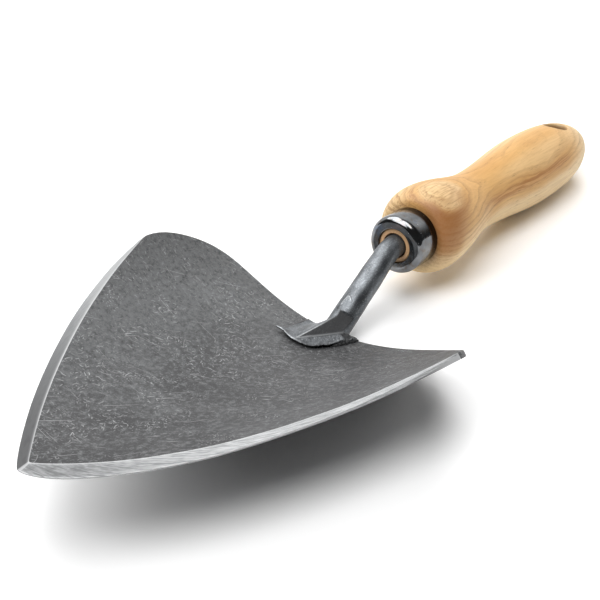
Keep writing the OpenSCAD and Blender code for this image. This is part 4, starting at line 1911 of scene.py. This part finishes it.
@dataclass
class Welds:
    """The weld beads beside the leaf and behind the heel: sizes in mm."""

    blade: Blade
    leaf_right: float = 7.4
    leaf_left: float = 12.5
    rim_u: float = 16.2
    rim_y: float = 3.0
    bead_r: float = 1.1
    bead_h: float = 1.1
    bead_len: float = 11.0
    heel_r: float = 1.2
    heel_len: float = 11.0
    clear: float = 0.1
    gap: float = 0.05
    taper: float = 0.9
    wave: float = 0.07
    waves: float = 44.0
    lumps: Tuple[Ripple, ...] = (Ripple(0.14, 1.1, 3.3), Ripple(0.06, 2.7, 6.1))
    lump_lean: float = 0.7
    heel_lumps: Ripple = Ripple(0.05, 1.2, 9.2)
    left_low: float = 0.3
    steps: int = 90
    sides: int = 22
    sharp: float = 60.0

    def swell(self, k: float) -> float:
        """Give the size of a bead along its run."""
        waved = 1 - self.wave + self.wave * math.cos(self.waves * k)
        return math.sqrt(1 - (self.taper * (2 * k - 1)) ** 2) * waved

    def fillet(self, start: Points, end: Points, side: int) -> Tuple[Points, Faces]:
        """Lay one bead on the plate against the leaf's rim.

        Args:
            start: Plan point at the heel.
            end: Plan point at its front end.
            side: 1 on the left of the leaf and -1 on the right.

        Returns:
            Points of the blade's frame and faces.
        """
        run = (end - start) / np.linalg.norm(end - start)
        out = np.array([-run[1], run[0]]) * side
        low = self.left_low if side > 0 else 1.0
        turns = np.linspace(0.0, math.pi / 2, self.sides)
        rings = []
        for k in np.linspace(0.0, 1.0, self.steps + 1):
            size, middle = self.swell(k), lerp(start, end, k)
            plan = middle + out * (self.gap + self.bead_r * size * np.sin(turns))[:, None]
            corner = self.blade.on_plate((middle + out * self.gap)[None], np.array([-self.gap]))
            arc = self.blade.on_plate(plan, np.zeros(len(turns)))
            arc[:, 2] += self.gap + self.bead_h * size * np.cos(turns) * low
            grown = self.lump_lean * np.sin(2 * turns) * size * uneven(arc, self.lumps)
            arc[:, 1] += side * grown
            arc[:, 2] += grown
            rings.append(np.concatenate([corner, arc]))
        return np.concatenate(rings), tube_faces(len(rings), self.sides + 1)

    def build_leaf(self, layout: Layout, steel: Material) -> Piece:
        """Build the two beads beside the leaf.

        Args:
            layout: How the tool lies.
            steel: Their material.

        Returns:
            The piece.
        """
        right = np.array([self.gap, -self.leaf_right])
        rim = np.array([self.rim_u, -self.rim_y])
        left = np.array([self.gap, self.leaf_left])
        first, first_faces = self.fillet(right, lerp(right, rim, self.bead_len / self.rim_u), -1)
        second, second_faces = self.fillet(left, left + np.array([self.bead_len, 0.0]), 1)
        faces = first_faces + [[len(first) + v for v in face] for face in second_faces]
        points = layout.place(self.blade.in_tool(np.concatenate([first, second])))
        piece = new_piece("leaf_weld_beads", points, faces, self.sharp)
        dress(piece, "leaf_weld", [steel])
        return piece

    def build_heel(self, layout: Layout, steel: Material) -> Piece:
        """Build the bead behind the heel.

        Args:
            layout: How the tool lies.
            steel: Its material.

        Returns:
            The piece.
        """
        slope = self.blade.tilt + layout.tilt
        above_ground = self.heel_r * math.tan(slope) + (self.heel_r + self.clear) / math.cos(slope)
        centre_u, centre_z = -self.heel_r, above_ground - self.blade.plate_t
        turns = np.linspace(0.0, FULL_TURN, 2 * self.sides, endpoint=False)
        rings = []
        for k in np.linspace(0.0, 1.0, self.steps + 1):
            y = lerp(-self.heel_len / 2, self.heel_len / 2, k)
            size = self.heel_r * self.swell(k)
            ring = np.stack([centre_u + size * np.cos(turns), np.full(len(turns), y),
                             centre_z + size * np.sin(turns)], -1)
            rough = 1 - self.heel_lumps.height - self.heel_lumps.at(ring)
            ring[:, 0] = np.minimum(-self.gap, centre_u + size * rough * np.cos(turns))
            ring[:, 2] = np.minimum(-self.gap, centre_z + size * rough * np.sin(turns))
            rings.append(ring)
        points = layout.place(self.blade.in_tool(np.concatenate(rings)))
        piece = new_piece("heel_weld_bead", points, tube_faces(len(rings), len(turns)), self.sharp)
        dress(piece, "heel_weld", [steel])
        return piece


@dataclass
class Ferrule:
    """The ring with a closed front lip: sizes in mm."""

    diameter: float = 21.0
    length: float = 12.0
    wall: float = 2.0
    lip_t: float = 1.8
    mouth_d: float = 12.5
    corner_r: float = 2.5
    mouth_round: float = 0.4
    rear_round: float = 0.3
    sides: int = 160
    arc_steps: int = 14
    wall_steps: int = 12
    face_steps: int = 6
    sharp: float = 40.0

    def arc(self, centre: Sequence[float], radius: float, first: float, last: float) -> Points:
        """Follow an arc of the section between two angles, in degrees from the axis outwards."""
        turns = np.radians(np.linspace(first, last, self.arc_steps))
        return np.stack([centre[0] + radius * np.cos(turns), centre[1] + radius * np.sin(turns)], -1)

    def section(self) -> Points:
        """Give the ring's section as a closed profile.

        Returns:
            Stations and radii.
        """
        r, bore, mouth = self.diameter / 2, self.diameter / 2 - self.wall, self.mouth_d / 2
        e, m = self.rear_round, self.mouth_round
        wall = np.linspace(self.length - e, self.corner_r, self.wall_steps)[1:-1]
        face = np.linspace(r - self.corner_r, mouth + m, self.face_steps)[1:-1]
        return np.concatenate([
            self.arc((self.length - e, r - e), e, 0.0, 90.0),
            np.stack([wall, np.full(len(wall), r)], -1),
            self.arc((self.corner_r, r - self.corner_r), self.corner_r, 90.0, 180.0),
            np.stack([np.zeros(len(face)), face], -1),
            self.arc((m, mouth + m), m, 180.0, 270.0),
            np.array([[self.lip_t, mouth], [self.lip_t, bore], [self.length, bore]])])

    def build(self, layout: Layout, steel: Material) -> Piece:
        """Build the ferrule.

        Args:
            layout: How the tool lies.
            steel: Its material.

        Returns:
            The piece.
        """
        points, faces = lathe(self.section(), self.sides, True)
        piece = new_piece("ferrule_ring", layout.place(points), faces, self.sharp)
        store(piece.data, "ring_place", points)
        dress(piece, "ferrule", [steel])
        return piece


@dataclass
class Handle:
    """The turned handle, which stands out a little into the ferrule's mouth: sizes in mm.

    Stations are counted from the ferrule's mouth.
    """

    front: float = 1.85
    mouth_front: float = 0.7
    mouth_r: float = 6.15
    mouth_round: float = 0.3
    tenon_r: float = 8.45
    start: float = 12.05
    neck_d: float = 23.0
    bulge_d: float = 32.4
    bulge_s: float = 21.5
    waist_d: float = 23.6
    waist_s: float = 55.0
    belly_d: float = 29.6
    belly_s: float = 101.0
    end: float = 149.5
    fullness: float = 2.7
    hole_r: float = 4.1
    hole_end: float = 110.1
    hole_point: float = 12.0
    hole_tip_r: float = 1.4
    hole_steps: int = 30
    flare_r: float = 4.6
    flare_end: float = 8.8
    hang_d: float = 9.5
    hang_s: float = 126.5
    hang_depth: float = 2.0
    hang_soft: Tuple[Levels, ...] = ((-1.2, 0.0), (-0.4, 0.06), (0.1, 0.25), (0.6, 0.6))
    hang_rim: float = 1.61
    hang_wide: float = 4.06
    hang_sides: int = 96
    sides: int = 192
    steps: int = 56
    sharp: float = 40.0

    def radius(self, share: float) -> float:
        """Give the radius of the rounded end at a share of its run from the belly."""
        return self.belly_d / 2 * math.sqrt(max(0.0, 1 - share ** self.fullness))

    def grip(self) -> Points:
        """Follow the outside of the grip from the ferrule to the end.

        Returns:
            Stations and radii.
        """
        k = np.linspace(0.0, 1.0, self.steps)
        ease = (1 - np.cos(math.pi * k)) / 2
        quick = 1 - np.cos(math.pi / 2 * k)
        neck = np.stack([lerp(self.start, self.bulge_s, quick),
                         lerp(self.neck_d, self.bulge_d, np.sqrt(1 - (1 - quick) ** 2)) / 2], -1)
        waist = np.stack([lerp(self.bulge_s, self.waist_s, k),
                          lerp(self.bulge_d, self.waist_d, ease) / 2], -1)
        belly = np.stack([lerp(self.waist_s, self.belly_s, k),
                          lerp(self.waist_d, self.belly_d, ease) / 2], -1)
        turn = np.sin(math.pi / 2 * k)
        rear = np.stack([lerp(self.belly_s, self.end, turn), [self.radius(x) for x in turn]], -1)
        return np.concatenate([neck, waist[1:], belly[1:], rear[1:]])

    def profile(self) -> Points:
        """Follow the whole section, from the end of the tang's hole round the tenon.

        Returns:
            Stations and radii.
        """
        walls = np.linspace(self.hole_end - self.hole_point, self.flare_end, self.hole_steps)
        inside = [(self.hole_end, 0.0), (self.hole_end, self.hole_tip_r)]
        inside += [(s, self.hole_r) for s in walls]
        inside += [(self.mouth_front, self.flare_r), (self.mouth_front, self.mouth_r - self.mouth_round),
                   (self.mouth_front + self.mouth_round, self.mouth_r), (self.front, self.mouth_r),
                   (self.front, self.tenon_r), (self.start, self.tenon_r)]
        return np.concatenate([np.array(inside), self.grip()])

    def hang_cutter(self) -> Tuple[Points, Faces]:
        """Make the tool that cuts the hanging hole with its two softened countersinks.

        Returns:
            Points in the handle's frame and faces.
        """
        top = self.radius((self.hang_s - self.belly_s) / (self.end - self.belly_s))
        hole = self.hang_d / 2
        sink = top - self.hang_depth
        reach = top + self.hang_depth
        half = [(sink + s, hole + r) for s, r in self.hang_soft]
        half += [(top, hole + self.hang_rim), (reach, hole + self.hang_wide)]
        profile = [(-reach, 0.0)] + [(-s, r) for s, r in half[::-1]] + half + [(reach, 0.0)]
        points, faces = lathe(np.array(profile), self.hang_sides, False)
        turned = np.stack([points[:, 1] + self.hang_s, points[:, 2], points[:, 0]], -1)
        return turned, faces

    def build(self, layout: Layout, wood: Material) -> Piece:
        """Build the handle.

        Args:
            layout: How the tool lies.
            wood: Its material.

        Returns:
            The piece.
        """
        points, faces = lathe(self.profile(), self.sides, False)
        rough = new_piece("handle_blank", layout.place(points), faces)
        cut_points, cut_faces = self.hang_cutter()
        cutter = new_piece("hang_cutter", layout.place(cut_points), cut_faces)
        cut = rough.modifiers.new("hang_hole", "BOOLEAN")
        cut.operation = "DIFFERENCE"
        cut.solver = "EXACT"
        cut.object = cutter
        graph = bpy.context.evaluated_depsgraph_get()
        mesh = bpy.data.meshes.new_from_object(rough.evaluated_get(graph))
        bpy.data.objects.remove(cutter)
        bpy.data.objects.remove(rough)
        shade(mesh, self.sharp)
        piece = bpy.data.objects.new("handle_grip", mesh)
        bpy.context.scene.collection.objects.link(piece)
        dress(piece, "handle", [wood])
        return piece


@dataclass(frozen=True)
class Lamp:
    """A soft lamp far away: place and spread in degrees, strength, and whether it gleams and lights."""

    name: str
    azimuth: float
    height: float
    spread: float
    strength: float
    mirrored: bool
    lights: bool = True

    def hang(self) -> None:
        """Hang the lamp, shining at the tool."""
        data = bpy.data.lights.new(self.name, "SUN")
        data.energy = self.strength
        data.angle = math.radians(self.spread)
        lamp = bpy.data.objects.new(self.name, data)
        lamp.visible_glossy = self.mirrored
        lamp.visible_diffuse = self.lights
        bpy.context.scene.collection.objects.link(lamp)
        along, up = heading(self.height)
        x, y = heading(self.azimuth) * along
        lamp.rotation_euler = Vector((x, y, up)).to_track_quat("Z", "Y").to_euler()


@dataclass
class Studio:
    """Camera, floor and soft light: sizes in mm and degrees."""

    eye: Triple = (-261.8, -164.1, 186.3)
    target: Triple = (-12.9, 26.2, 0.0)
    roll: float = -0.27
    lens: float = 61.28
    sensor: float = 36.0
    clip: float = 10.0
    floor_half: float = 4000.0
    floor_drop: float = 0.03
    floor_white: float = 0.9
    floor_seen: float = 1.1
    lamps: Tuple[Lamp, ...] = (
        Lamp("key", 208.0, 74.0, 38.0, 1.65, True),
        Lamp("back", 40.0, 38.0, 42.0, 1.8, False),
        Lamp("left", 155.0, 44.0, 42.0, 1.65, True),
        Lamp("right", 336.0, 22.0, 42.0, 0.6, False),
        Lamp("gleam", 100.0, 53.0, 46.0, 2.2, True, False))
    backdrop_side: Triple = (0.79, 0.61, 0.0)
    backdrop_edge: Levels = (0.3, 0.55)
    ceiling_edge: Levels = (0.8, 0.95)
    ceiling_share: float = 0.3
    white: Colour = (1.0, 1.0, 1.0, 1.0)
    fill: float = 0.03
    dim_level: float = 0.05

    def camera(self) -> None:
        """Set the camera at the viewing angle."""
        data = bpy.data.cameras.new("camera")
        data.lens = self.lens
        data.sensor_width = self.sensor
        data.sensor_fit = "HORIZONTAL"
        data.clip_start = self.clip * MM
        camera = bpy.data.objects.new("camera", data)
        bpy.context.scene.collection.objects.link(camera)
        eye, target = Vector(self.eye) * MM, Vector(self.target) * MM
        turn = (target - eye).to_track_quat("-Z", "Y").to_matrix()
        camera.matrix_world = Matrix.Translation(eye) @ (
            turn @ Matrix.Rotation(math.radians(self.roll), 3, "Z")).to_4x4()
        bpy.context.scene.camera = camera

    def floor(self) -> None:
        """Lay the pale floor."""
        h, z = self.floor_half, -self.floor_drop
        corners = np.array([(-h, -h, z), (h, -h, z), (h, h, z), (-h, h, z)]) * MM
        floor = new_piece("floor", corners, [[0, 1, 2, 3]])
        shader = Shader(bpy.data.materials.new("pale_floor"))
        seen = Value(shader, shader.add("ShaderNodeLightPath").outputs["Is Camera Ray"])
        plain, shown = ((level, level, level, 1.0) for level in (self.floor_white, self.floor_seen))
        matt = shader.add("ShaderNodeBsdfDiffuse", None, {"Color": shader.blend(seen, plain, shown)})
        shader.add("ShaderNodeOutputMaterial", None, {"Surface": matt.outputs[0]})
        floor.data.materials.append(shader.owner)

    def light(self) -> None:
        """Hang the soft lamps and set the room: a white backdrop, and a dim side that metal mirrors."""
        for lamp in self.lamps:
            lamp.hang()
        world = bpy.data.worlds.new("studio")
        bpy.context.scene.world = world
        shader = Shader(world)
        path = shader.add("ShaderNodeLightPath")
        seen, mirrored, through = (Value(shader, path.outputs[kind]) for kind in (
            "Is Camera Ray", "Is Glossy Ray", "Is Transmission Ray"))
        toward = shader.add("ShaderNodeTexCoord").outputs["Generated"]
        _, _, up = shader.split(toward)
        side = shader.measured("DOT_PRODUCT", toward, self.backdrop_side)
        ceiling = up.step(*self.ceiling_edge) * self.ceiling_share
        room = side.step(*self.backdrop_edge).most(ceiling).between(self.dim_level, 1.0)
        lit = mirrored * room + (1 - mirrored) * self.fill
        back = shader.add("ShaderNodeBackground", None, {
            "Color": self.white, "Strength": seen.most(through).most(lit)})
        shader.add("ShaderNodeOutputWorld", None, {"Surface": back.outputs[0]})
        bpy.context.scene.view_settings.view_transform = "Standard"


def main() -> None:
    """Build and dress the whole tool."""
    logging.basicConfig(level=logging.INFO, format="%(name)s: %(message)s")
    handle, ferrule, blade = Handle(), Ferrule(), Blade()
    tang, welds = Tang(blade), Welds(blade)
    mount = next(m for m in frame["record"]["mounts"] if m["name"] == "hanging_hole")
    layout = Layout.from_hanging_hole(mount, handle.hang_s)
    studio = Studio()
    studio.camera()
    studio.floor()
    studio.light()
    weld_steel = WeldSteel().material()
    wood = AshWood(tilt=layout.tilt, lift=layout.lift, shift=layout.shift,
                   hang_s=handle.hang_s, hang_r=handle.hang_d / 2)
    pieces = [
        blade.build(layout, PlateSteel().material(), GroundSteel().material()),
        tang.build(layout, TangSteel().material()),
        welds.build_leaf(layout, weld_steel),
        welds.build_heel(layout, weld_steel),
        ferrule.build(layout, BluedSteel().material()),
        handle.build(layout, wood.material())]
    LOG.info("%d pieces", len(pieces))


if __name__ == "__main__":
    main()
